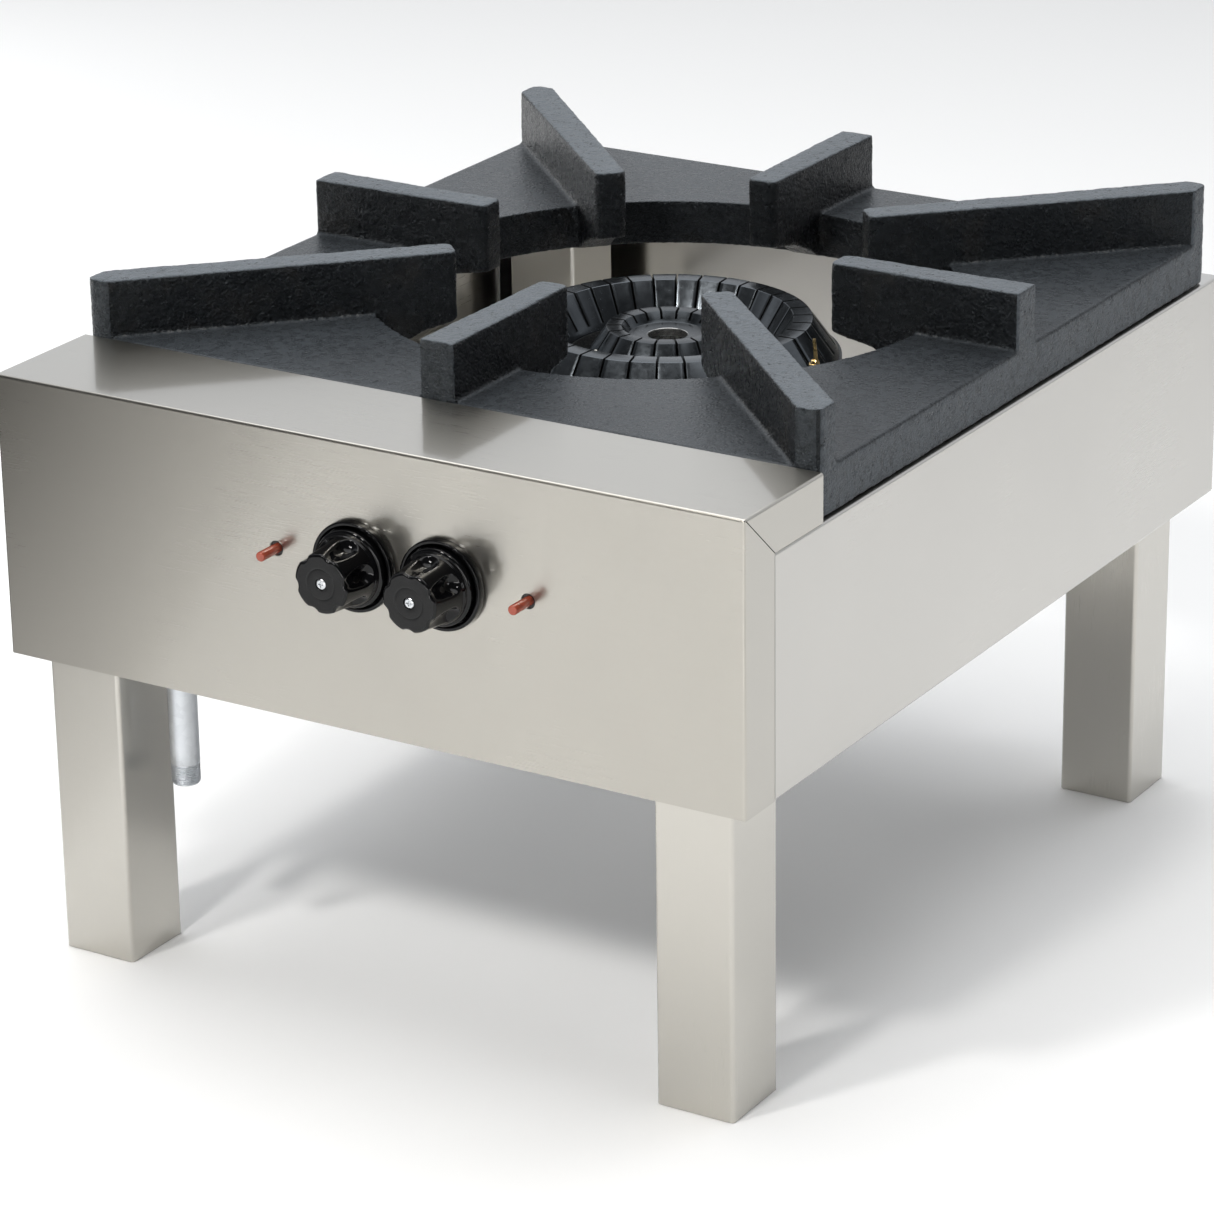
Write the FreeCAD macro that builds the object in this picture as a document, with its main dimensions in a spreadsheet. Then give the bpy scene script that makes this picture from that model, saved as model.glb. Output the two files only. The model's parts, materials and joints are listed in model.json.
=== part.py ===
# Single-burner gas stock-pot stand: a folded stainless body on four square legs,
# a one-piece cast pan support with eight fins, a double-ring slotted burner, two
# push-and-turn gas valves and two piezo igniters.
# Frame: millimetres, +Z up, Z = 0 at the floor, X = 0 on the centre plane,
# Y = 0 midway between the knob faces and the rear panel, -Y is the control side.
import FreeCAD, Part
import Sketcher
import math
import os

doc = FreeCAD.newDocument("burner_stand")
sheet = doc.addObject("Spreadsheet::Sheet", "D")
sheet.Label = "dimensions"
V3 = FreeCAD.Vector


# ---------------------------------------------------------------- dimensions
class Dim:
    """A length that keeps its sheet expression and its number side by side."""

    def __init__(self, text, num):
        self.text = text
        self.num = float(num)

    @staticmethod
    def of(v):
        return v if isinstance(v, Dim) else Dim("%.6g" % v if v >= 0 else "(%.6g)" % v, v)

    def __add__(self, o):
        o = Dim.of(o)
        return Dim("(%s + %s)" % (self.text, o.text), self.num + o.num)

    def __radd__(self, o):
        return Dim.of(o) + self

    def __sub__(self, o):
        o = Dim.of(o)
        return Dim("(%s - %s)" % (self.text, o.text), self.num - o.num)

    def __rsub__(self, o):
        return Dim.of(o) - self

    def __mul__(self, o):
        o = Dim.of(o)
        return Dim("(%s * %s)" % (self.text, o.text), self.num * o.num)

    def __rmul__(self, o):
        return Dim.of(o) * self

    def __truediv__(self, o):
        o = Dim.of(o)
        return Dim("(%s / %s)" % (self.text, o.text), self.num / o.num)

    def __neg__(self):
        return Dim("(0 - %s)" % self.text, -self.num)


row_no = [0]


def cell(alias, value, note):
    row_no[0] += 1
    r = str(row_no[0])
    sheet.set("A" + r, note)
    sheet.set("B" + r, str(value))
    sheet.setAlias("B" + r, alias)
    return Dim("D." + alias, value)


width = cell("body_width", 600, "body width")
front = cell("front_plane", -339, "outer face of the front panel, Y")
rear = cell("rear_plane", 381, "outer face of the rear panel, Y")
top = cell("ledge_level", 440, "top of the ledge, Z")
low = cell("skirt_level", 232, "bottom edge of the body, Z")
gauge = cell("sheet_gauge", 1.5, "sheet thickness")
bend = cell("bend_radius", 2.0, "outer bend radius of the sheet")
ledge = cell("ledge_depth", 102, "depth of the ledge")
drop = cell("flange_drop", 34.5, "height of the ledge's side flanges")
ret = cell("return_width", 38, "width of the front panel's side returns")
seat_w = cell("seat_flange", 24, "width of the flanges the pan support rests on")
foot_w = cell("foot_flange", 17.5, "width of the body's bottom flanges")
leg = cell("leg_side", 60, "leg tube, square")
leg_wall = cell("leg_wall", 1.5, "leg tube wall")
leg_round = cell("leg_round", 3.0, "leg tube corner radius")
leg_in_x = cell("leg_inset_side", 20, "leg to body side")
leg_in_f = cell("leg_inset_front", 17, "leg to body front")
leg_in_r = cell("leg_inset_rear", 29, "leg to body rear")
leg_top = cell("leg_top_level", 403, "top of the leg tube, Z")
gr_x = cell("grate_half_width", 297, "pan support half width")
gr_f = cell("grate_front", -236.5, "pan support front edge, Y")
gr_r = cell("grate_rear", 361.5, "pan support rear edge, Y")
gr_base = cell("grate_base_level", 405.5, "underside of the pan support skirt, Z")
gr_top = cell("grate_plate_level", 440, "top of the pan support plate, Z")
gr_plate = cell("grate_plate_gauge", 9, "pan support plate thickness")
gr_wall = cell("grate_wall", 10, "pan support skirt thickness")
gr_hole = cell("grate_hole_radius", 215, "radius of the burner opening")
fin_top = cell("fin_level", 482, "top of the fins, Z")
fin_w = cell("fin_width", 29, "fin thickness at its outer end")
fin_nose = cell("fin_nose_width", 24.5, "fin thickness at its inner end")
fin_in_e = cell("fin_inner_edge", 145, "inner end radius of the four edge fins")
fin_in_c = cell("fin_inner_corner", 154, "inner end radius of the four corner fins")
fin_tip = cell("fin_tip_level", 430, "underside of a fin at its inner end, Z")
br_y = cell("burner_centre", 70, "burner centre, Y")
cr_top = cell("crown_level", 413, "top of the outer crown, Z")
cr_in_top = cell("inner_crown_level", 407, "top of the inner crown, Z")
cr_disc = cell("inner_disc_level", 400, "top of the inner crown's disc, Z")
cr_seat = cell("crown_seat_level", 385, "underside of the crowns' flanks, Z")
slot_w = cell("slot_width", 1.7, "flame slot width")
slots_o = cell("outer_slot_count", 34, "flame slots in the outer crown")
slots_i = cell("inner_slot_count", 18, "flame slots in the inner crown")
tr_low = cell("trough_level", 345, "underside of the burner troughs, Z")
ctl_z = cell("control_level", 354, "control axis height, Z")
knob_l = cell("left_knob_offset", 0, "left knob axis, X")
knob_r = cell("right_knob_offset", 70, "right knob axis, X")
pz_l = cell("left_button_offset", -65, "left igniter axis, X")
pz_r = cell("right_button_offset", 136, "right igniter axis, X")
knob_h = cell("knob_reach", 42, "knob face to the front panel")
skirt_r = cell("knob_skirt_radius", 27.5, "knob skirt radius")
grip_r = cell("knob_grip_radius", 22.5, "knob grip radius over the lobes")
bezel_r = cell("bezel_radius", 32, "bezel ring radius")
push = cell("push_travel", 3.0, "push travel of a knob")
button_r = cell("button_radius", 3.5, "igniter button radius")
button_h = cell("button_reach", 19.5, "igniter button reach out of the panel")
pipe_r = cell("pipe_radius", 10.65, "half-inch gas pipe outer radius")
pipe_in = cell("pipe_bore_radius", 8.0, "half-inch gas pipe bore radius")
thread_r = cell("thread_radius", 9.9, "male pipe thread, pitch radius")
thread_l = cell("thread_length", 17, "male pipe thread length")
in_x = cell("inlet_offset", -192, "gas inlet axis, X")
mf_y = cell("manifold_plane", -285, "manifold axis, Y")
mf_z = cell("manifold_level", 315, "manifold axis, Z")
in_low = cell("inlet_level", 135, "bottom of the gas inlet pipe, Z")
vt_x = cell("outer_venturi_offset", 45, "outer ring venturi axis, X")
vt_z = cell("outer_venturi_level", 364, "outer ring venturi axis, Z")
vi_z = cell("inner_venturi_level", 326, "inner ring venturi axis, Z")
vt_y = cell("venturi_mouth", -190, "venturi mouths, Y")
rail_z = cell("rail_level", 301, "top of the side rails, Z")
run = cell("running_clearance", 0.05, "radial running clearance")
doc.recompute()

nodes = {}
count = [0]


def uid(stem):
    count[0] += 1
    return "%s_%03d" % (stem, count[0])


def bind(obj, prop, d):
    d = Dim.of(d)
    obj.setExpression(prop, d.text)


def place(obj, x, y, z, rot=None):
    """Placement with a fixed rotation and a bound position."""
    x, y, z = Dim.of(x), Dim.of(y), Dim.of(z)
    obj.Placement = FreeCAD.Placement(V3(x.num, y.num, z.num), rot or FreeCAD.Rotation())
    bind(obj, "Placement.Base.x", x)
    bind(obj, "Placement.Base.y", y)
    bind(obj, "Placement.Base.z", z)


ROT = {
    "Z": FreeCAD.Rotation(),
    "-Z": FreeCAD.Rotation(V3(1, 0, 0), 180),
    "-Y": FreeCAD.Rotation(V3(1, 0, 0), 90),
    "Y": FreeCAD.Rotation(V3(1, 0, 0), -90),
    "X": FreeCAD.Rotation(V3(0, 1, 0), 90),
    "-X": FreeCAD.Rotation(V3(0, 1, 0), -90),
}


def box(x0, x1, y0, y1, z0, z1, stem="box"):
    b = doc.addObject("Part::Box", uid(stem))
    bind(b, "Length", Dim.of(x1) - x0)
    bind(b, "Width", Dim.of(y1) - y0)
    bind(b, "Height", Dim.of(z1) - z0)
    place(b, x0, y0, z0)
    return b


def cyl(r, x, y, z, axis, length, stem="cyl"):
    c = doc.addObject("Part::Cylinder", uid(stem))
    bind(c, "Radius", r)
    bind(c, "Height", length)
    place(c, x, y, z, ROT[axis])
    return c


def hexagon(flats, x, y, z, axis, length, stem="hex"):
    p = doc.addObject("Part::Prism", uid(stem))
    p.Polygon = 6
    bind(p, "Circumradius", Dim.of(flats) / 1.7320508)
    bind(p, "Height", length)
    place(p, x, y, z, ROT[axis])
    return p


def fuse(parts, stem="fuse"):
    f = doc.addObject("Part::MultiFuse", uid(stem))
    f.Shapes = parts
    f.Refine = False
    return f


def cut(base, tool, stem="cut"):
    if isinstance(tool, list):
        tool = fuse(tool) if len(tool) > 1 else tool[0]
    c = doc.addObject("Part::Cut", uid(stem))
    c.Base = base
    c.Tool = tool
    c.Refine = False
    return c


def common(parts, stem="common"):
    c = doc.addObject("Part::MultiCommon", uid(stem))
    c.Shapes = parts
    return c


def group(parts, stem="group"):
    g = doc.addObject("Part::Compound", uid(stem))
    g.Links = parts
    return g


def round_edges(base, radius, want, stem="round"):
    """Part::Fillet on the edges of base that want(edge) accepts."""
    doc.recompute()
    picked = [
        (i, radius.num, radius.num)
        for i, e in enumerate(base.Shape.Edges, 1)
        if want(e)
    ]
    if not picked:
        raise RuntimeError("no edge found for " + stem)
    f = doc.addObject("Part::Fillet", uid(stem))
    f.Base = base
    f.Edges = picked
    return f


def near(a, b, tol=1e-4):
    return abs(a - b) < tol


def along(e, axis):
    """True for a straight edge along the axis with this index."""
    if e.Curve.TypeId != "Part::GeomLine":
        return False
    d = e.Vertexes[-1].Point.sub(e.Vertexes[0].Point)
    v = [abs(d.x), abs(d.y), abs(d.z)]
    return v[axis] > 1e-6 and sum(v) - v[axis] < 1e-6


PLANE = {"XY": 3, "XZ": 4, "YZ": 5}


def outline(body, plane, loops, circles=()):
    """Closed polylines and circles in a sketch, every vertex tied to the sheet."""
    s = body.newObject("Sketcher::SketchObject", uid("sketch"))
    s.AttachmentSupport = [(body.Origin.OriginFeatures[PLANE[plane]], "")]
    s.MapMode = "FlatFace"
    n = 0
    for pts in loops:
        pts = [(Dim.of(a), Dim.of(b)) for a, b in pts]
        m = len(pts)
        for i in range(m):
            a, b = pts[i], pts[(i + 1) % m]
            s.addGeometry(Part.LineSegment(V3(a[0].num, a[1].num, 0), V3(b[0].num, b[1].num, 0)), False)
        for i in range(m):
            s.addConstraint(Sketcher.Constraint("Coincident", n + i, 2, n + (i + 1) % m, 1))
        for i in range(m):
            for kind, d in (("DistanceX", pts[i][0]), ("DistanceY", pts[i][1])):
                k = s.addConstraint(Sketcher.Constraint(kind, -1, 1, n + i, 1, d.num))
                s.setExpression("Constraints[%d]" % k, d.text)
        n += m
    for cx, cy, r in circles:
        cx, cy, r = Dim.of(cx), Dim.of(cy), Dim.of(r)
        s.addGeometry(Part.Circle(V3(cx.num, cy.num, 0), V3(0, 0, 1), r.num), False)
        k = s.addConstraint(Sketcher.Constraint("Radius", n, r.num))
        s.setExpression("Constraints[%d]" % k, r.text)
        for kind, d in (("DistanceX", cx), ("DistanceY", cy)):
            k = s.addConstraint(Sketcher.Constraint(kind, -1, 1, n, 3, d.num))
            s.setExpression("Constraints[%d]" % k, d.text)
        n += 1
    return s


def body(stem):
    return doc.addObject("PartDesign::Body", uid(stem))


def turned(pts, x, y, z, axis="Z", stem="turned"):
    """A turned part: profile of (radius, height along the axis) about its own axis."""
    b = body(stem)
    s = outline(b, "XZ", [pts])
    r = b.newObject("PartDesign::Revolution", uid("revolve"))
    r.Profile = s
    r.ReferenceAxis = (s, ["V_Axis"])
    r.Angle = 360
    s.Visibility = False
    b.Tip = r
    place(b, x, y, z, ROT[axis])
    return b


def padded(pts, length, x, y, z, rot=None, plane="XY", mid=False, stem="padded", circles=(), extra=()):
    b = body(stem)
    s = outline(b, plane, ([pts] if pts else []) + list(extra), circles)
    p = b.newObject("PartDesign::Pad", uid("pad"))
    p.Profile = s
    p.Midplane = mid
    bind(p, "Length", length)
    b.Tip = p
    place(b, x, y, z, rot)
    return b


def bent_tube(stem, pts, r_bend, r_out, r_in=0.0):
    """Round tube or rod along straight runs joined by arcs of radius r_bend."""
    pts = [V3(*[Dim.of(c).num for c in p]) for p in pts]
    edges = []
    here = pts[0]
    for i in range(1, len(pts) - 1):
        a = (pts[i - 1] - pts[i]).normalize()
        c = (pts[i + 1] - pts[i]).normalize()
        ang = a.getAngle(c)
        t = r_bend / math.tan(ang / 2)
        p1 = pts[i] + a * t
        p2 = pts[i] + c * t
        bis = (a + c).normalize()
        mid = pts[i] + bis * (r_bend / math.sin(ang / 2) - r_bend)
        edges.append(Part.makeLine(here, p1))
        edges.append(Part.Arc(p1, mid, p2).toShape())
        here = p2
    edges.append(Part.makeLine(here, pts[-1]))
    wire = Part.Wire(edges)
    d = (pts[1] - pts[0]).normalize()

    def sweep(r):
        ring = Part.Wire([Part.makeCircle(r, pts[0], d)])
        return wire.makePipeShell([ring], True, False, 2)

    shape = sweep(r_out)
    if r_in > 0:
        shape = shape.cut(sweep(r_in))
    f = doc.addObject("Part::Feature", uid(stem))
    f.Shape = shape
    return f


def coil(stem, r_mean, r_wire, length, turns, x, y, z, axis):
    """Compression spring drawn at its fitted length, its axis along local Z."""
    pitch = (Dim.of(length).num - 2 * r_wire) / turns
    helix = Part.makeHelix(pitch, pitch * turns, r_mean)
    ring = Part.Wire([Part.makeCircle(r_wire, V3(r_mean, 0, 0), V3(0, 1, 0))])
    shape = Part.Wire(helix).makePipeShell([ring], True, True)
    shape.translate(V3(0, 0, r_wire))
    f = doc.addObject("Part::Feature", uid(stem))
    f.Shape = shape
    f.Placement = FreeCAD.Placement(V3(Dim.of(x).num, Dim.of(y).num, Dim.of(z).num), ROT[axis])
    return f


def node(name, obj):
    obj.Label = name
    nodes[name] = obj
    return obj


half = width / 2

# ---------------------------------------------------------------- front panel
# One folded sheet: front face, top ledge, side returns and ledge flanges that
# meet in a mitre, a bottom lip and a down-turned rear lip.
ledge_back = front + ledge
blank = box(-half, half, front, ledge_back, low, top, "front_block")
blank = round_edges(
    blank,
    bend,
    lambda e: (along(e, 0) and near(e.Vertexes[0].Y, front.num) and near(e.Vertexes[0].Z, top.num))
    or (along(e, 2) and near(e.Vertexes[0].Y, front.num))
    or (along(e, 1) and near(e.Vertexes[0].Z, top.num)),
    "front_bends",
)
hollow = box(-half + gauge, half - gauge, front + gauge, ledge_back - gauge, low + gauge, top - gauge, "front_hollow")
open_low = box(-half + gauge, half - gauge, front + 16, ledge_back + 5, low - 5, top - 34, "open_underside")
side_cut_l = box(-half - 5, -half + gauge, front + ret, ledge_back + 5, low - 5, top - drop, "side_cut")
side_cut_r = box(half - gauge, half + 5, front + ret, ledge_back + 5, low - 5, top - drop, "side_cut")
side_low_l = box(-half - 5, -half + gauge, front + 16, ledge_back + 5, low - 5, low + 0.2, "side_low")
# mitre seams between return and flange
mitres = []
for sx in (-1, 1):
    b = body("mitre")
    s = outline(
        b,
        "YZ",
        [[
            (front + 1.2, top - 1.6),
            (front + 1.75, top - 1.2),
            (front + ret + 0.3, top - drop + 0.25),
            (front + ret + 0.3, top - drop - 0.6),
        ]],
    )
    p = b.newObject("PartDesign::Pad", uid("pad"))
    p.Profile = s
    bind(p, "Length", 4)
    b.Tip = p
    place(b, (half - 2) if sx > 0 else (-half - 2), 0, 0)
    mitres.append(b)
holes = [cyl(6, x, front - 2, ctl_z, "Y", 6, "spindle_hole") for x in (knob_l, knob_r)]
holes += [cyl(5.5, x, front - 2, ctl_z, "Y", 6, "button_hole") for x in (pz_l, pz_r)]
node("front_panel", cut(blank, [hollow, open_low, side_cut_l, side_cut_r] + mitres + holes, "front_panel"))

# ---------------------------------------------------------------- side panels
side_front = front + ret + 0.5
seat_z = gr_base - 0.5
for sx, name in ((-1, "left_side_panel"), (1, "right_side_panel")):
    def mx(a, b):
        return (a, b) if sx > 0 else (-b, -a)

    sgn = 1 if sx > 0 else -1
    prof = [
        (half, low), (half, seat_z), (half - seat_w, seat_z), (half - seat_w, seat_z - gauge),
        (half - gauge, seat_z - gauge), (half - gauge, low + gauge), (half - foot_w, low + gauge), (half - foot_w, low),
    ]
    if sx < 0:
        prof = [(-p[0], p[1]) for p in prof]
    # the sketch plane's normal is -Y, so the pad is drawn back from the rear end
    f = padded(prof, rear - gauge - side_front, 0, rear - gauge, 0, plane="XZ", stem="side_fold")
    f = round_edges(
        f,
        bend,
        lambda e: along(e, 1)
        and near(abs(e.Vertexes[0].X), half.num)
        and (near(e.Vertexes[0].Z, seat_z.num) or near(e.Vertexes[0].Z, low.num))
        and e.Length > 300,
        "side_bends",
    )
    x0, x1 = mx(half - gauge, half)
    tail = box(x0, x1, rear - gauge, rear, low + 2, seat_z - 2, "tail")
    a, b_ = mx(half - gauge * 2, half - gauge)
    lap = box(a, b_, front + 4, side_front + 6, low + 2, seat_z - gauge - 0.5, "lap")
    node(name, fuse([f, tail, lap], name))

# ---------------------------------------------------------------- rear panel
skin = box(-half + gauge, half - gauge, rear - gauge, rear, low, seat_z, "rear_skin")
seat = box(-half + seat_w + 0.5, half - seat_w - 0.5, rear - 22, rear, seat_z - gauge, seat_z, "rear_seat")
foot = box(-half + foot_w + 0.5, half - foot_w - 0.5, rear - foot_w, rear, low, low + gauge, "rear_foot")
ears = []
for sx in (-1, 1):
    a, b_ = (half - gauge * 2, half - gauge) if sx > 0 else (-half + gauge, -half + gauge * 2)
    ears.append(box(a, b_, rear - 24, rear, low + 2, seat_z - gauge - 0.5, "rear_ear"))
node("rear_panel", fuse([skin, seat, foot] + ears, "rear_panel"))

# ---------------------------------------------------------------- legs
leg_x = half - leg_in_x - leg / 2
leg_yf = front + leg_in_f + leg / 2
leg_yr = rear - leg_in_r - leg / 2
corners = (
    ("front_left", -1, leg_yf),
    ("front_right", 1, leg_yf),
    ("rear_left", -1, leg_yr),
    ("rear_right", 1, leg_yr),
)
ends = []
spacers = []
for tag, sx, ly in corners:
    lx = leg_x if sx > 0 else -leg_x
    tube = box(lx - leg / 2, lx + leg / 2, ly - leg / 2, ly + leg / 2, 0, leg_top, "leg_tube")
    tube = round_edges(tube, leg_round, lambda e: along(e, 2), "leg_round")
    bore = box(
        lx - leg / 2 + leg_wall, lx + leg / 2 - leg_wall, ly - leg / 2 + leg_wall, ly + leg / 2 - leg_wall, -1, leg_top + 1, "leg_bore"
    )
    bore = round_edges(bore, Dim("", leg_round.num - leg_wall.num), lambda e: along(e, 2), "leg_bore_round")
    node("leg_" + tag, cut(tube, bore, "leg_" + tag))
    plate = box(
        lx - leg / 2 + leg_wall + 0.1, lx + leg / 2 - leg_wall - 0.1,
        ly - leg / 2 + leg_wall + 0.1, ly + leg / 2 - leg_wall - 0.1, 0, 2, "end_plate",
    )
    ends.append(round_edges(plate, Dim("", 1.6), lambda e: along(e, 2), "end_plate_round"))
    # box spacer between the leg and the side panel
    a, b_ = (half - leg_in_x, half - gauge) if sx > 0 else (-half + gauge, -half + leg_in_x)
    y_lo = side_front + 6.5 if tag.startswith("front") else ly - 20
    y_hi = ly + 27 if tag.startswith("front") else ly + 20
    outer = box(a, b_, y_lo, y_hi, 280, 370, "spacer")
    inner = box(a + 2, b_ - 2, y_lo - 1, y_hi + 1, 282, 368, "spacer_bore")
    spacers.append(cut(outer, inner, "leg_bracket"))
node("leg_brackets", group(spacers, "leg_brackets"))
node("leg_end_plates", group(ends, "leg_end_plates"))

# ---------------------------------------------------------------- rails and crossbars
rail_y0 = leg_yf + leg / 2
rail_y1 = leg_yr - leg / 2
rail_x = leg_x
bar_ys = (br_y - 95, br_y + 95)
rail_bolts = []
for sx, name in ((-1, "side_rail_left"), (1, "side_rail_right")):
    a, b_ = (rail_x - 22, rail_x + 3) if sx > 0 else (-rail_x - 3, -rail_x + 22)
    flat = box(a, b_, rail_y0, rail_y1, rail_z - 3, rail_z, "rail_flat")
    a, b_ = (rail_x, rail_x + 3) if sx > 0 else (-rail_x - 3, -rail_x)
    web = box(a, b_, rail_y0, rail_y1, rail_z - 25, rail_z, "rail_web")
    bx = rail_x - 11 if sx > 0 else -rail_x + 11
    drill = [cyl(4.2, bx, y, rail_z - 8, "Z", 16, "rail_drill") for y in bar_ys]
    node(name, cut(fuse([flat, web]), drill, name))
    for y in bar_ys:
        rail_bolts.append(
            fuse([
                cyl(4, bx, y, rail_z - 14, "Z", 18, "shank"),
                hexagon(13, bx, y, rail_z + 4, "Z", 5.3, "head"),
                hexagon(13, bx, y, rail_z - 9.5, "Z", 6.5, "nut"),
            ], "rail_bolt")
        )
lug_r = 105.0
lug_xy = [(lug_r * math.cos(math.radians(a)), lug_r * math.sin(math.radians(a))) for a in (115, 65, -65, -115)]
lug_dx = abs(lug_xy[0][0])
lug_dy = abs(lug_xy[0][1])
for y, name in ((bar_ys[0], "burner_crossbar_front"), (bar_ys[1], "burner_crossbar_rear")):
    bar = box(-rail_x - 2, rail_x + 2, y - 15, y + 15, rail_z, rail_z + 4, "crossbar")
    drill = [cyl(4.2, s * (rail_x - 11), y, rail_z - 2, "Z", 8, "drill") for s in (-1, 1)]
    drill += [cyl(3.2, s * lug_dx, y, rail_z - 2, "Z", 8, "drill") for s in (-1, 1)]
    node(name, cut(bar, drill, name))
node("rail_bolts", group(rail_bolts, "rail_bolts"))
lug_bolts = []
for y in bar_ys:
    for s in (-1, 1):
        lug_bolts.append(
            fuse([
                cyl(3, s * lug_dx, y, rail_z - 3, "Z", 22, "shank"),
                hexagon(10, s * lug_dx, y, rail_z - 4, "Z", 4, "head"),
            ], "lug_bolt")
        )
node("burner_bolts", group(lug_bolts, "burner_bolts"))

# ---------------------------------------------------------------- pan support
mid_y = (gr_f + gr_r) / 2
blank = box(-gr_x, gr_x, gr_f, gr_r, gr_base, fin_top + 2, "grate_block")
blank = round_edges(blank, Dim("", 8), lambda e: along(e, 2), "grate_corners")
plate = box(-gr_x - 1, gr_x + 1, gr_f - 1, gr_r + 1, gr_base - 1, gr_top, "grate_slab")
plate = common([blank, plate], "grate_plate")
plate = round_edges(
    plate,
    Dim("", 3),
    lambda e: near(e.BoundBox.ZMin, gr_top.num) and near(e.BoundBox.ZMax, gr_top.num),
    "grate_rim_round",
)
pocket = cut(
    box(-gr_x + gr_wall, gr_x - gr_wall, gr_f + gr_wall, gr_r - gr_wall, gr_base - 2, gr_top - gr_plate, "under_pocket"),
    cyl(gr_hole + gr_wall, 0, mid_y, gr_base - 3, "Z", 40, "rim_keep"),
    "under_pocket",
)
plate = cut(plate, [pocket, cyl(gr_hole, 0, mid_y, gr_base - 5, "Z", 60, "burner_opening")], "grate_tray")
fins = []
for k in range(8):
    corner = k % 2
    r_in = fin_in_c if corner else fin_in_e
    r_out = 440 if corner else 320
    b = body("fin")
    s = outline(
        b,
        "XZ",
        [[
            (r_in, fin_tip),
            (r_in, fin_top),
            (r_out, fin_top),
            (r_out, gr_top - 4),
            (gr_hole + 6, gr_top - 4),
            (gr_hole + 6, gr_base),
            (gr_hole - 1, gr_base),
            (gr_hole - 16, gr_base + 9),
            (gr_hole - 36, gr_base + 18),
        ]],
    )
    p = b.newObject("PartDesign::Pad", uid("pad"))
    p.Profile = s
    p.Midplane = True
    bind(p, "Length", fin_w + 8)
    b.Tip = p
    turn = FreeCAD.Rotation(V3(0, 0, 1), 45 * k)
    place(b, 0, mid_y, 0, turn)
    wedge = padded(
        [(r_in, fin_nose / -2), (r_out, fin_w / -2), (r_out, fin_w / 2), (r_in, fin_nose / 2)],
        fin_top - gr_base + 4, 0, mid_y, gr_base - 2, turn, stem="fin_taper",
    )

    def reach(e, turn=turn):
        """Nearest point of an edge along the fin, from the opening's axis."""
        back = turn.inverted()
        return min(back.multVec(v.Point - V3(0, mid_y.num, 0)).x for v in e.Vertexes)

    fin = common([b, wedge], "fin")
    fin = round_edges(fin, Dim("", 6), lambda e: along(e, 2) and near(reach(e), r_in.num, 0.01) and e.Length > 20, "fin_nose")
    fin = round_edges(
        fin,
        Dim("", 2),
        lambda e: near(e.BoundBox.ZMin, fin_top.num, 1e-3) and near(e.BoundBox.ZMax, fin_top.num, 1e-3) and reach(e) < r_out - 1,
        "fin_crest",
    )
    fins.append(fin)
stars = common([fuse(fins, "fins"), blank], "fins_trimmed")
node("pan_support", fuse([plate, stars], "pan_support"))

# ---------------------------------------------------------------- burner casting
# Open troughs under the crowns, joined by ribs, standing on four lugs.
tr_top = cr_seat - 0.4
outer_trough = turned(
    [(75, tr_low), (128, tr_low), (128, tr_top), (121.5, tr_top), (121.5, tr_low + 6), (80, tr_low + 6), (80, tr_top), (75, tr_top)],
    0, br_y, 0, "Z", "outer_trough",
)
inner_cup = turned(
    [(15, tr_low), (60, tr_low), (60, tr_top), (55, tr_top), (55, tr_low + 6), (20, tr_low + 6), (20, cr_disc - 6.4), (15, cr_disc - 6.4)],
    0, br_y, 0, "Z", "inner_cup",
)
ribs = []
for a in (0, 120, 240):
    r = box(57, 78, -5, 5, tr_low + 2, tr_low + 24, "rib")
    r.setExpression("Placement.Base.x", None)
    r.setExpression("Placement.Base.y", None)
    r.setExpression("Placement.Base.z", None)
    q = FreeCAD.Rotation(V3(0, 0, 1), a)
    r.Placement = FreeCAD.Placement(V3(0, br_y.num, 0), FreeCAD.Rotation()).multiply(
        FreeCAD.Placement(q.multVec(V3(57, -5, tr_low.num + 2)), q)
    )
    ribs.append(r)
lugs = [
    cyl(9, sx * lug_dx, br_y + sy * 95, rail_z + 4, "Z", tr_low - rail_z - 2, "lug")
    for sx in (-1, 1) for sy in (-1, 1)
]
lug_bores = [
    cyl(3, sx * lug_dx, br_y + sy * 95, rail_z + 3, "Z", 16, "lug_bore")
    for sx in (-1, 1) for sy in (-1, 1)
]
boss_y = br_y - 37
boss = cyl(20, 0, boss_y, vi_z - 17, "Z", tr_low + 3 - vi_z + 17, "elbow_boss")
boss_side = cyl(20, 0, boss_y - 28, vi_z, "Y", 28, "elbow_side")
outer_boss = cyl(20, vt_x, br_y - 131, vt_z, "Y", 26, "outer_boss")
tc_r = 134.0
probe_o = (133.0, -13.0)
spark_o = (tc_r * math.cos(math.radians(-27)), tc_r * math.sin(math.radians(-27)))
mid_r = 67.5
probe_i = (mid_r * math.cos(math.radians(-50)), mid_r * math.sin(math.radians(-50)))
spark_i = (mid_r * math.cos(math.radians(250)), mid_r * math.sin(math.radians(250)))
ears = []
for (px, py) in (probe_o, spark_o):
    ears.append(cyl(8, px, br_y + py, tr_low + 20, "Z", 8, "probe_ear"))
    ears.append(box(118, px, br_y + py - 5, br_y + py + 5, tr_low + 20, tr_low + 28, "probe_web"))
for (px, py) in (probe_i, spark_i):
    ears.append(cyl(8.6, px, br_y + py, tr_low + 8, "Z", 12, "probe_ear"))
cast = fuse([outer_trough, inner_cup, boss, boss_side, outer_boss] + ribs + lugs + ears, "burner_cast")
keep_out = turned([(80, tr_low + 6), (121.5, tr_low + 6), (121.5, tr_top + 2), (80, tr_top + 2)], 0, br_y, 0, "Z", "outer_channel")
keep_in = turned([(20, tr_low + 6), (55, tr_low + 6), (55, tr_top + 2), (20, tr_top + 2)], 0, br_y, 0, "Z", "inner_channel")
air_hole = cyl(15, 0, br_y, tr_low - 40, "Z", 60, "air_hole")
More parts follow.
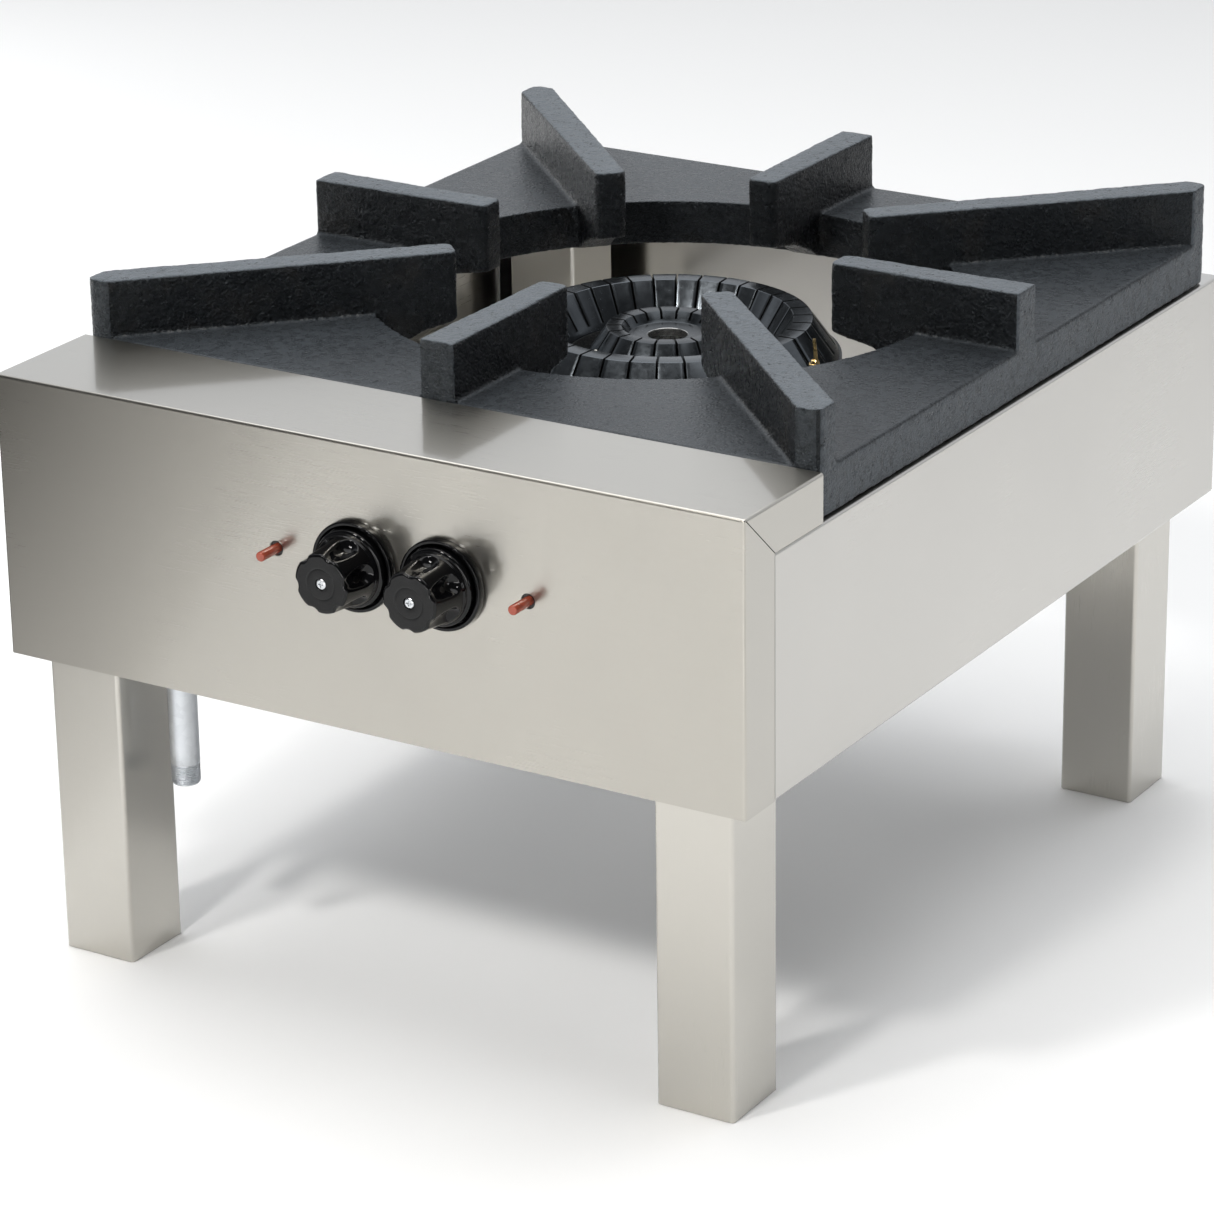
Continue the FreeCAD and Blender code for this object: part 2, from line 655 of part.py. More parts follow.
probe_bores = [cyl(3.55, px, br_y + py, tr_low - 2, "Z", 60, "probe_bore") for (px, py) in (probe_o, probe_i)]
probe_bores += [cyl(3.05, px, br_y + py, tr_low - 2, "Z", 60, "spark_bore") for (px, py) in (spark_o, spark_i)]
passages = [
    cyl(13.5, 0, boss_y, vi_z, "Z", tr_low - vi_z + 12, "riser"),
    cyl(13.5, 0, boss_y - 20, vi_z, "Y", 20, "riser_side"),
    cyl(17, 0, boss_y - 30, vi_z, "Y", 14, "inner_socket"),
    cyl(13.5, vt_x, br_y - 125, vt_z, "Y", 40, "outer_inlet"),
    cyl(17, vt_x, br_y - 133, vt_z, "Y", 8, "outer_socket"),
]
node("burner_casting", cut(cast, [keep_out, keep_in, air_hole] + probe_bores + passages + lug_bores, "burner_casting"))

# ---------------------------------------------------------------- crowns
def crown(name, profile, slot_in, slot_out, slot_low, slot_high, slots, phase):
    b = body(name)
    s = outline(b, "XZ", [profile])
    r = b.newObject("PartDesign::Revolution", uid("revolve"))
    r.Profile = s
    r.ReferenceAxis = (s, ["V_Axis"])
    r.Angle = 360
    k = outline(b, "XZ", [[(slot_in, slot_low), (slot_out, slot_low), (slot_out, slot_high), (slot_in, slot_high)]])
    p = b.newObject("PartDesign::Pocket", uid("slot"))
    p.Profile = k
    p.Midplane = True
    p.Type = 0
    bind(p, "Length", slot_w)
    doc.recompute()
    whole = r.Shape.Volume
    if not p.Shape.Volume < whole - 1:
        raise RuntimeError(name + ": slot removes nothing")
    pp = b.newObject("PartDesign::PolarPattern", uid("slots"))
    pp.Originals = [p]
    pp.Axis = (b.Origin.OriginFeatures[2], [""])
    pp.Angle = 360
    pp.setExpression("Occurrences", slots.text)
    b.Tip = pp
    place(b, 0, br_y, 0, FreeCAD.Rotation(V3(0, 0, 1), phase))
    doc.recompute()
    one = whole - p.Shape.Volume
    if abs((whole - pp.Shape.Volume) - one * slots.num) > 0.02 * one * slots.num:
        raise RuntimeError(name + ": slot pattern incomplete")
    return node(name, b)


crown(
    "outer_crown",
    [
        (84, cr_seat - 5), (84, cr_seat + 3), (95.5, cr_top - 5), (103, cr_top - 5), (117, cr_seat + 3), (117, cr_seat - 5),
        (121, cr_seat - 5), (121, cr_seat), (126.5, cr_seat), (106.2, cr_top), (92.4, cr_top), (75, cr_seat), (80.5, cr_seat), (80.5, cr_seat - 5),
    ],
    70, 130, cr_seat + 4.5, cr_top + 2, slots_o, 0.2,
)
crown(
    "inner_crown",
    [
        (60, cr_seat), (44.8, cr_in_top), (34, cr_in_top), (28.5, cr_disc), (14.6, cr_disc), (14.6, cr_disc - 6),
        (31.5, cr_disc - 6), (36.5, cr_in_top - 5), (42.3, cr_in_top - 5), (51.5, cr_seat + 3), (51.5, cr_seat - 4.5), (54.5, cr_seat - 4.5), (54.5, cr_seat),
    ],
    30, 64, cr_seat + 4.5, cr_in_top + 2, slots_i, 9.0,
)

# ---------------------------------------------------------------- venturis, shutters, injectors
injectors = []


def feed(tag, ax, az, y_end):
    # mixing tube with a bell mouth and a bridge that carries the injector
    ln = y_end - vt_y
    tube = turned(
        [(21, 0), (24, 0), (24, 5), (17, 28), (17, ln), (13.5, ln), (13.5, 28), (21, 4)],
        ax, vt_y, az, "Y", "mixing_tube",
    )
    arms = [
        box(ax + 20, ax + 24, vt_y - 28, vt_y + 3, az - 5, az + 5, "bridge_arm"),
        box(ax - 24, ax - 20, vt_y - 28, vt_y + 3, az - 5, az + 5, "bridge_arm"),
        box(ax - 24, ax + 24, vt_y - 28, vt_y - 22, az - 6, az + 6, "bridge_bar"),
        cyl(10, ax, vt_y - 28, az, "Y", 6, "bridge_hub"),
    ]
    core = cyl(20.9, ax, vt_y - 0.5, az, "Y", 4, "bell_core")
    t = cut(fuse([tube] + arms), [core, cyl(6, ax, vt_y - 30, az, "Y", 10, "bridge_bore")], "venturi")
    node("venturi_" + tag, t)
    inj = turned(
        [(0.9, 10), (8.08, 10), (8.08, 18), (5.95, 18), (5.95, 31), (5, 31), (5, 41), (3, 44), (0.9, 44)],
        ax, vt_y - 52, az, "Y", "injector",
    )
    hexa = hexagon(14, ax, vt_y - 44, az, "Y", 10, "injector_hex")
    bore = cyl(4.0, ax, vt_y - 45, az, "Y", 16, "injector_bore")
    nose = cyl(0.9, ax, vt_y - 30, az, "Y", 40, "orifice")
    hexcut = cut(hexa, cyl(4.0, ax, vt_y - 46, az, "Y", 14))
    injectors.append(cut(fuse([inj, hexcut]), [bore, nose], "injector"))
    disc = cut(
        cyl(18, ax, vt_y - 18, az, "Y", 1.5, "shutter_disc"),
        cyl(5 + run, ax, vt_y - 20, az, "Y", 6, "shutter_bore"),
        "air_shutter",
    )
    node("air_shutter_" + tag, disc)


feed("outer", vt_x, vt_z, br_y - 125)
feed("inner", Dim.of(0), vi_z, boss_y - 16)
node("injectors", group(injectors, "injectors"))

# ---------------------------------------------------------------- gas supply
mf_x1 = knob_r + 50
tube = cut(
    cyl(pipe_r, in_x + 10, mf_y, mf_z, "X", mf_x1 - in_x - 10, "manifold_pipe"),
    [cyl(pipe_in, in_x + 9, mf_y, mf_z, "X", mf_x1 - in_x - 8, "manifold_bore")]
    + [cyl(4, x, mf_y, mf_z, "Z", 14, "port") for x in (knob_l, knob_r)],
    "gas_manifold",
)
node("gas_manifold", tube)
cap = fuse([hexagon(24, mf_x1 - 1, mf_y, mf_z, "X", 8, "plug_hex"), cyl(pipe_in, mf_x1 - 12, mf_y, mf_z, "X", 12, "plug_shank")], "manifold_plug")
cap = cut(cap, cyl(20, mf_x1 - 1.5, mf_y, mf_z, "X", 1.5, "face_relief"))
cap = fuse([cap, cyl(pipe_in, mf_x1 - 3, mf_y, mf_z, "X", 5, "plug_neck")])
node("manifold_plug", cap)
elbow = fuse([
    cyl(13.2, in_x - 1, mf_y, mf_z, "X", 22, "elbow_arm"),
    cyl(15.5, in_x + 13, mf_y, mf_z, "X", 12, "elbow_bead"),
    cyl(13.2, in_x, mf_y, mf_z + 1, "-Z", 22, "elbow_arm"),
    cyl(15.5, in_x, mf_y, mf_z - 13, "-Z", 12, "elbow_bead"),
    (lambda s: (bind(s, "Radius", 13.2), place(s, in_x, mf_y, mf_z), s)[2])(doc.addObject("Part::Sphere", uid("elbow_heel"))),
])
node("manifold_elbow", cut(elbow, [
    cyl(pipe_r, in_x + 10, mf_y, mf_z, "X", 20, "elbow_socket"),
    cyl(pipe_r + 0.05, in_x, mf_y, mf_z - 10, "-Z", 20, "elbow_socket"),
    cyl(pipe_in, in_x, mf_y, mf_z, "X", 16, "elbow_way"),
    cyl(pipe_in, in_x, mf_y, mf_z, "-Z", 16, "elbow_way"),
], "manifold_elbow"))
node("gas_inlet_pipe", turned(
    [(pipe_in, 0), (thread_r - 1.2, 0), (thread_r, 1.2), (thread_r, thread_l), (thread_r - 0.4, thread_l + 0.4), (thread_r - 0.4, thread_l + 1.2),
     (pipe_r, thread_l + 2.0), (pipe_r, mf_z - 11 - in_low), (pipe_in, mf_z - 11 - in_low)],
    in_x, mf_y, in_low, "Z", "gas_inlet_pipe",
))
straps = []
for bx in (in_x + 80, knob_r + 28):
    web = box(bx - 1.5, bx + 1.5, front + gauge, mf_y + 16, mf_z - 17, mf_z + 17, "strap_web")
    pad = box(bx - 1.5, bx + 14, front + gauge, front + gauge + 3, mf_z - 17, mf_z + 17, "strap_foot")
    straps.append(cut(fuse([web, pad]), cyl(pipe_r, bx - 5, mf_y, mf_z, "X", 10, "strap_bore"), "bracket"))
node("manifold_brackets", group(straps, "manifold_brackets"))

# ---------------------------------------------------------------- valves and knobs
bonnets = []
bezels = []
for tag, kx, phase in (("left", knob_l, 40), ("right", knob_r, 56)):
    main = cyl(13, kx, -322, ctl_z, "Y", 60, "valve_barrel")
    inlet = cyl(8.5, kx, mf_y, mf_z, "Z", ctl_z - mf_z, "valve_inlet")
    outlet = cyl(6.5, kx, -275, ctl_z, "Z", 20, "valve_outlet")
    lobe = box(kx - 11, kx + 11, -318, -266, ctl_z - 14.5, ctl_z + 6, "valve_block")
    v = cut(fuse([main, inlet, outlet, lobe]), [
        cyl(9, kx, -323, ctl_z, "Y", 23, "spring_chamber"),
        cyl(7 + run, kx, -301, ctl_z, "Y", 33, "plug_bore"),
        cyl(pipe_r, kx - 20, mf_y, mf_z, "X", 40, "saddle"),
        cyl(3, kx, mf_y, mf_z, "Z", 34, "gas_way_in"),
        cyl(3, kx, -275, ctl_z, "Z", 30, "gas_way_out"),
    ], "valve_body")
    node("valve_body_" + tag, v)
    bonnets.append(turned(
        [(4 + run, 0), (8.95, 0), (8.95, 3), (12.5, 3), (12.5, 11), (8, 13), (4 + run, 13)],
        kx, -319, ctl_z, "-Y", "bonnet",
    ))
    plug = cut(
        turned([(0, 0), (7, 0), (7, 31), (0, 31)], kx, -269, ctl_z, "-Y", "plug"),
        [cyl(4 + run, kx, -301, ctl_z, "Y", 17, "spindle_socket"), cyl(2.5, kx, -275, ctl_z, "Z", 10, "plug_port")],
        "valve_plug",
    )
    node("valve_plug_" + tag, plug)
    # push-and-turn spindle: collar under the bonnet, square shank in the plug, flatted end in the knob
    shaft = turned([(1.6, 18), (1.6, 82), (4, 82), (4, 28), (7.5, 28), (7.5, 26), (4, 26), (4, 0), (0, 0), (0, 18)],
                   kx, -290, ctl_z, "-Y", "spindle")
    node("valve_spindle_" + tag, shaft)
    node("valve_spring_" + tag, coil("spring", 5.8, 0.5, 14.0, 6, kx, -301.0, ctl_z, "-Y"))
    # bezel cup on the panel
    bezels.append(turned(
        [(9, 0), (bezel_r, 0), (bezel_r, 5.2), (bezel_r - 0.8, 6), (skirt_r + 1.4, 6), (skirt_r + 1.4, 1.6), (9, 1.6)],
        kx, front, ctl_z, "-Y", "bezel",
    ))
    # knob: skirt, six-lobed grip, stepped bore
    b = body("knob")
    s = outline(b, "XZ", [[
        (4 + 0.02, 5), (skirt_r, 5), (skirt_r, 9.5), (skirt_r - 1.5, 11), (25.2, 12), (23.9, 14.5), (grip_r, 24), (grip_r, knob_h - 1.2), (grip_r - 1.2, knob_h),
        (4.2, knob_h), (4.2, knob_h - 1.6), (2.2, knob_h - 1.6), (2.2, 34), (4.02, 34),
    ]])
    r = b.newObject("PartDesign::Revolution", uid("revolve"))
    r.Profile = s
    r.ReferenceAxis = (s, ["V_Axis"])
    r.Angle = 360
    sc = outline(b, "XY", [], [(25.5, 0, 8.0)])
    sc.AttachmentOffset = FreeCAD.Placement(V3(0, 0, 14), FreeCAD.Rotation())
    pk = b.newObject("PartDesign::Pocket", uid("scallop"))
    pk.Profile = sc
    pk.Type = 1
    pk.Reversed = True
    doc.recompute()
    whole = r.Shape.Volume
    if not (whole - pk.Shape.Volume > 1000):
        raise RuntimeError("knob scallop removes too little: %g" % (whole - pk.Shape.Volume))
    pp = b.newObject("PartDesign::PolarPattern", uid("scallops"))
    pp.Originals = [pk]
    pp.Axis = (b.Origin.OriginFeatures[2], [""])
    pp.Angle = 360
    pp.Occurrences = 6
    b.Tip = pp
    place(b, kx, front, ctl_z, ROT["-Y"].multiply(FreeCAD.Rotation(V3(0, 0, 1), phase + 30)))
    node("knob_" + tag, b)
    head = turned([(0, 0), (3.4, 0), (3.7, 0.5), (3.7, 1.0), (2.8, 1.5), (0, 1.5)], kx, front - knob_h + 1.55, ctl_z, "-Y", "screw_head")
    stem_ = cyl(1.6, kx, front - knob_h + 1, ctl_z, "Y", 16.5, "screw_stem")
    cross = [box(kx - 0.45, kx + 0.45, front - knob_h - 1, front - knob_h + 1.0, ctl_z - 2, ctl_z + 2, "recess"),
             box(kx - 2, kx + 2, front - knob_h - 1, front - knob_h + 1.0, ctl_z - 0.45, ctl_z + 0.45, "recess")]
    node("knob_screw_" + tag, cut(fuse([head, stem_]), cross, "knob_screw"))

node("valve_bonnets", group(bonnets, "valve_bonnets"))
node("knob_bezels", group(bezels, "knob_bezels"))

# ---------------------------------------------------------------- igniters
clamps = []
for tag, px in (("left", pz_l), ("right", pz_r)):
    case = turned(
        [(button_r + run, 0), (8.5, 0), (8.5, 46), (3, 48), (3, 54), (0, 54), (0, 36), (button_r + run, 36)],
        px, front + gauge, ctl_z, "Y", "igniter",
    )
    node("igniter_body_" + tag, case)
    b = turned(
        [(0, 0), (button_r, 0), (button_r, button_h + gauge + 18), (button_r - 0.6, button_h + gauge + 18.6), (0, button_h + gauge + 18.6)],
        px, front + gauge + 18, ctl_z, "-Y", "button",
    )
    b.setExpression("Placement.Base.y", (front - button_h + 0.6 + gauge + button_h + 18 - 0.0).text)
    node("igniter_button_" + tag, b)
    node("igniter_spring_" + tag, coil("spring", 2.6, 0.35, 15.6, 8, px, front.num + gauge.num + 19.5, ctl_z, "Y"))
    clamp = cut(
        fuse([
            box(px - 12, px + 12, front + gauge + 10, front + gauge + 22, ctl_z - 11, ctl_z + 11, "clamp_block"),
            box(px - 12, px - 10.5, front + gauge, front + gauge + 12, ctl_z - 11, ctl_z + 11, "clamp_leg"),
            box(px + 10.5, px + 12, front + gauge, front + gauge + 12, ctl_z - 11, ctl_z + 11, "clamp_leg"),
        ]),
        cyl(8.55, px, front + gauge - 1, ctl_z, "Y", 40, "clamp_bore"),
        "igniter_clamp",
    )
    clamps.append(clamp)
node("igniter_clamps", group(clamps, "igniter_clamps"))

# ---------------------------------------------------------------- gas tubes
def tube_nut(x, y, z, axis):
    return cut(hexagon(14, x, y, z, axis, 9, "nut"), cyl(4, x, y, z, axis, 9, "nut_bore"))


node("gas_tube_outer", bent_tube(
    "gas_tube_outer",
    [(knob_r, -275, ctl_z + 20), (knob_r, -275, 400), (knob_r, -256, 400), (vt_x, -256, 400), (vt_x, -256, vt_z), (vt_x, vt_y - 40, vt_z)],
    7.5, 4.0, 3.0,
))
node("gas_tube_inner", bent_tube(
    "gas_tube_inner",
    [(knob_l, -275, ctl_z + 20), (knob_l, -275, 400), (-26, -254, 400), (-26, -254, vi_z), (0, -254, vi_z), (0, vt_y - 40, vi_z)],
    7.5, 4.0, 3.0,
))
node("tube_nuts", group([
    tube_nut(knob_r, -275, ctl_z + 20, "Z"),
    tube_nut(knob_l, -275, ctl_z + 20, "Z"),
], "tube_nuts"))

# ---------------------------------------------------------------- flame probes and spark electrodes
def world(p):
    return (Dim.of(p[0]), br_y + p[1])


def probe(tag, p, tip, lean, path, seat):
    x, y = world(p)
    base = cyl(3.5, x, y, seat - 20, "Z", 20, "probe_thread")
    nut = hexagon(9, x, y, seat, "Z", 6, "probe_nut")
    ln = tip - seat - 6
    ang = math.degrees(math.atan2(lean, ln))
    rot = FreeCAD.Rotation(V3(0, 1, 0), -ang)
    rod = body("probe_rod")
    s = outline(rod, "XZ", [[(0, 0), (2.4, 0), (2.4, ln * 0.45), (1.6, ln * 0.5), (1.2, ln), (0, ln)]])
    r = rod.newObject("PartDesign::Revolution", uid("revolve"))
    r.Profile = s
    r.ReferenceAxis = (s, ["V_Axis"])
    r.Angle = 360
    rod.Tip = r
    place(rod, x, y, seat + 5.5, rot)
    end = path[-1]
    vy = end[1]
    gland = hexagon(9, end[0], vy, end[2], "-Y", 12, "gland")
    lead = bent_tube("lead", [(x.num, y.num, seat - 16)] + path, 6, 1.2)
    node("flame_probe_" + tag, fuse([base, nut, rod, lead, gland], "flame_probe"))


probe("outer", probe_o, 421.0, 3.0,
      [(probe_o[0], br_y.num + probe_o[1], 338), (probe_o[0], -150, 338), (95, -226, 352), (70, -240, 352), (70, -250, 352)], 385.0)
probe("inner", probe_i, 401.0, 0.0,
      [(probe_i[0], br_y.num + probe_i[1], 333), (30, br_y.num + probe_i[1], 333), (30, -214, 333), (30, -214, 352), (0, -236, 352), (0, -250, 352)], 366.0)


def spark(tag, p, tip, path, seat):
    x, y = world(p)
    node("spark_electrode_" + tag, fuse([
        cyl(3.0, x, y, tr_low + 6, "Z", seat - 351 + 14, "ceramic"),
        cyl(4.2, x, y, seat, "Z", 5, "ceramic_collar"),
        cyl(1.1, x, y, seat + 12, "Z", tip - seat - 12, "needle"),
    ], "spark_electrode"))
    node("ignition_lead_" + tag, bent_tube("ignition_lead", [(x.num, y.num, 351)] + path, 8, 2.2))


piezo_end = front.num + gauge.num + 54
spark("outer", spark_o, 419.0,
      [(spark_o[0], br_y.num + spark_o[1], 322), (136, -150, 322), (136, -240, 352), (136, piezo_end, 352)], 373.0)
spark("inner", spark_i, 402.0,
      [(spark_i[0], br_y.num + spark_i[1], 336), (-65, -150, 336), (-65, -240, 352), (-65, piezo_end, 352)], 365.0)

# ---------------------------------------------------------------- write out
doc.recompute()
bad = [o.Name for o in doc.Objects if "Invalid" in o.State or "Error" in o.State]
if bad:
    raise RuntimeError("objects with errors: %s" % bad)
os.makedirs("parts", exist_ok=True)
for name, obj in nodes.items():
    shape = obj.Shape
    if shape.isNull() or not shape.isValid() or not shape.Solids:
        raise RuntimeError("bad shape: " + name)
    if not all(s.isClosed() and s.Volume > 0 for s in shape.Solids):
        raise RuntimeError("open or inverted solid: " + name)
    shape.exportStep("parts/" + name + ".step")
    bb = shape.optimalBoundingBox(True, False)
    print("%-26s solids %d  vol %.0f  x %.1f..%.1f  y %.1f..%.1f  z %.1f..%.1f" % (
        name, len(shape.Solids), shape.Volume, bb.XMin, bb.XMax, bb.YMin, bb.YMax, bb.ZMin, bb.ZMax))
print(len(nodes), "nodes")
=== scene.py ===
import json
import math

import bmesh
import bpy
import numpy as np
from mathutils import Matrix, Vector, noise


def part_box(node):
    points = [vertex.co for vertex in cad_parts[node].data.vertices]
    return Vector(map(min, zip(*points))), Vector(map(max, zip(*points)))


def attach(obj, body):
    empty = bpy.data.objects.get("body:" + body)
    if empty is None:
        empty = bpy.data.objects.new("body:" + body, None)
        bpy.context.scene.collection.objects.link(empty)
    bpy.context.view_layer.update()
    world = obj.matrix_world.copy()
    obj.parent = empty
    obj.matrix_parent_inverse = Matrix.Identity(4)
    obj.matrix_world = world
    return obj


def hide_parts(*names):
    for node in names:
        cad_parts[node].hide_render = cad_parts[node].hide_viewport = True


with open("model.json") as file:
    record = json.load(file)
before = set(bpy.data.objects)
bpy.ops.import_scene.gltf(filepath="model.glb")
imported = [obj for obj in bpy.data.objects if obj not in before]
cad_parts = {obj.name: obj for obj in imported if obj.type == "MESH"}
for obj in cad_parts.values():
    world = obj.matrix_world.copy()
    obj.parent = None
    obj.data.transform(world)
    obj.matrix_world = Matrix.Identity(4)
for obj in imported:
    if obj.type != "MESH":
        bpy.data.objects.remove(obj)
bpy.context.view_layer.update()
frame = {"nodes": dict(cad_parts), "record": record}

nodes = frame["nodes"]
scene = bpy.context.scene


def mm(*v):
    return tuple(c * 0.001 for c in v)


# ------------------------------------------------------------------ mesh helpers
def new_piece(name, verts, faces, body, stands_for=(), mats=(), smooth=True, zone=None):
    me = bpy.data.meshes.new(name)
    me.from_pydata([tuple(v) for v in verts], [], [tuple(f) for f in faces])
    me.update()
    for m in mats:
        me.materials.append(m)
    if zone is not None:
        me.polygons.foreach_set("material_index", np.asarray(zone, np.int32))
    me.polygons.foreach_set("use_smooth", np.full(len(me.polygons), bool(smooth)))
    bm = bmesh.new()
    bm.from_mesh(me)
    bmesh.ops.recalc_face_normals(bm, faces=bm.faces)
    bm.to_mesh(me)
    bm.free()
    me.update()
    ob = bpy.data.objects.new(name, me)
    scene.collection.objects.link(ob)
    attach(ob, body)
    if stands_for:
        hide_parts(*stands_for)
    return ob


def sharpen(ob, degrees=35.0):
    """Keeps edges steeper than this sharp on a smooth-shaded mesh."""
    bm = bmesh.new()
    bm.from_mesh(ob.data)
    lim = math.radians(degrees)
    for e in bm.edges:
        e.smooth = not (len(e.link_faces) == 2 and e.calc_face_angle(0.0) > lim)
    bm.to_mesh(ob.data)
    bm.free()


def axis_frame(axis):
    """(u, v, w): w runs along the part's axis, u and v span its section."""
    if axis == "Z":
        return Vector((1, 0, 0)), Vector((0, 1, 0)), Vector((0, 0, 1))
    return Vector((1, 0, 0)), Vector((0, 0, 1)), Vector((0, -1, 0))


def ring_surface(rows, centre, axis, closed=True):
    """rows: array (profile steps, angle steps, 2) of (radius vector x, y) plus heights -> verts and quads."""
    u, v, w = axis_frame(axis)
    c = Vector(centre)
    verts, faces = [], []
    n_a = len(rows[0])
    for row in rows:
        for (x, y, h) in row:
            verts.append(c + u * x + v * y + w * h)
    n_p = len(rows)
    for i in range(n_p if closed else n_p - 1):
        j = (i + 1) % n_p
        for k in range(n_a):
            l = (k + 1) % n_a
            faces.append((i * n_a + k, i * n_a + l, j * n_a + l, j * n_a + k))
    return verts, faces


def rounded(profile, radii, steps=4):
    """Rounds the corners of a closed (r, h) profile; radii[i] is corner i's radius."""
    out = []
    n = len(profile)
    for i in range(n):
        p = Vector(profile[i])
        a, b = Vector(profile[i - 1]) - p, Vector(profile[(i + 1) % n]) - p
        r = radii[i]
        if r <= 0:
            out.append(tuple(p))
            continue
        ang = a.angle(b)
        t = min(r / math.tan(ang / 2), a.length * 0.48, b.length * 0.48)
        r = t * math.tan(ang / 2)
        a, b = a.normalized(), b.normalized()
        mid = (a + b).normalized()
        centre = p + mid * (r / math.sin(ang / 2))
        s, e = p + a * t - centre, p + b * t - centre
        sweep = s.angle_signed(e)
        for k in range(steps + 1):
            f = -sweep * k / steps
            q = Vector((s.x * math.cos(f) - s.y * math.sin(f), s.x * math.sin(f) + s.y * math.cos(f)))
            out.append(tuple(centre + q))
    return out


def lathe(profile, centre, axis, segments):
    rows = []
    for r, h in profile:
        rows.append([(r * math.cos(2 * math.pi * k / segments), r * math.sin(2 * math.pi * k / segments), h) for k in range(segments)])
    return ring_surface(rows, centre, axis)


# ------------------------------------------------------------------ material helpers
class Tree:
    """Short-hand for a node tree."""

    def __init__(self, name):
        self.mat = bpy.data.materials.new(name)
        self.mat.use_nodes = True
        self.t = self.mat.node_tree
        self.bsdf = next(n for n in self.t.nodes if n.type == "BSDF_PRINCIPLED")
        self.t.nodes.active = self.bsdf

    def n(self, kind, **props):
        node = self.t.nodes.new(kind)
        for k, v in props.items():
            setattr(node, k, v)
        return node

    def to(self, src, dst):
        self.t.links.new(src, dst)

    def feed(self, value, socket):
        if isinstance(value, bpy.types.NodeSocket):
            self.to(value, socket)
        else:
            socket.default_value = value

    def math(self, op, a, b=0.0, clamp=False):
        m = self.n("ShaderNodeMath", operation=op, use_clamp=clamp)
        self.feed(a, m.inputs[0])
        self.feed(b, m.inputs[1])
        return m.outputs[0]

    def coords(self):
        c = self.n("ShaderNodeTexCoord")
        return c.outputs["Object"]

    def split(self, vec):
        s = self.n("ShaderNodeSeparateXYZ")
        self.to(vec, s.inputs[0])
        return s.outputs

    def join(self, x, y, z):
        c = self.n("ShaderNodeCombineXYZ")
        for v, s in zip((x, y, z), c.inputs):
            self.feed(v, s)
        return c.outputs[0]

    def scaled(self, vec, sx, sy, sz, loc=(0, 0, 0)):
        m = self.n("ShaderNodeMapping")
        m.inputs["Scale"].default_value = (sx, sy, sz)
        m.inputs["Location"].default_value = loc
        self.to(vec, m.inputs["Vector"])
        return m.outputs[0]

    def noise(self, vec, scale, detail=2.0, rough=0.5, distort=0.0):
        t = self.n("ShaderNodeTexNoise")
        t.inputs["Scale"].default_value = scale
        t.inputs["Detail"].default_value = detail
        t.inputs["Roughness"].default_value = rough
        t.inputs["Distortion"].default_value = distort
        self.to(vec, t.inputs["Vector"])
        return t.outputs["Fac"]

    def voronoi(self, vec, scale, feature="F1", out="Distance", randomness=1.0):
        t = self.n("ShaderNodeTexVoronoi", feature=feature)
        t.inputs["Scale"].default_value = scale
        t.inputs["Randomness"].default_value = randomness
        self.to(vec, t.inputs["Vector"])
        return t.outputs[out]

    def ramp(self, fac, *stops, interp="LINEAR"):
        r = self.n("ShaderNodeValToRGB")
        r.color_ramp.interpolation = interp
        e = r.color_ramp.elements
        while len(e) < len(stops):
            e.new(0.5)
        for el, (pos, col) in zip(e, stops):
            el.position = pos
            if not hasattr(col, "__len__"):
                col = (col, col, col)
            el.color = (*col[:3], 1.0)
        self.to(fac, r.inputs[0])
        return r.outputs[0]

    def span(self, fac, lo, hi, a, b):
        """Maps fac from lo..hi to a..b, clamped."""
        m = self.n("ShaderNodeMapRange")
        m.inputs["From Min"].default_value = lo
        m.inputs["From Max"].default_value = hi
        m.inputs["To Min"].default_value = a
        m.inputs["To Max"].default_value = b
        self.to(fac, m.inputs["Value"])
        return m.outputs[0]

    def mix(self, fac, a, b, blend="MIX"):
        m = self.n("ShaderNodeMix", data_type="RGBA", blend_type=blend)
        self.feed(fac, m.inputs["Factor"])
        for v, s in ((a, m.inputs[6]), (b, m.inputs[7])):
            if isinstance(v, bpy.types.NodeSocket):
                self.to(v, s)
            else:
                s.default_value = (*v[:3], 1.0)
        return m.outputs[2]

    def bump(self, height, strength, distance, normal=None):
        b = self.n("ShaderNodeBump")
        b.inputs["Strength"].default_value = strength
        b.inputs["Distance"].default_value = distance
        self.to(height, b.inputs["Height"])
        if normal is not None:
            self.to(normal, b.inputs["Normal"])
        return b.outputs[0]

    def done(self, colour=None, rough=None, normal=None, **sockets):
        b = self.bsdf.inputs
        if colour is not None:
            if isinstance(colour, bpy.types.NodeSocket):
                self.to(colour, b["Base Color"])
            else:
                b["Base Color"].default_value = (*colour[:3], 1.0)
        if rough is not None:
            self.feed(rough, b["Roughness"])
        if normal is not None:
            self.to(normal, b["Normal"])
        for k, v in sockets.items():
            b[k.replace("_", " ")].default_value = v
        return self.mat


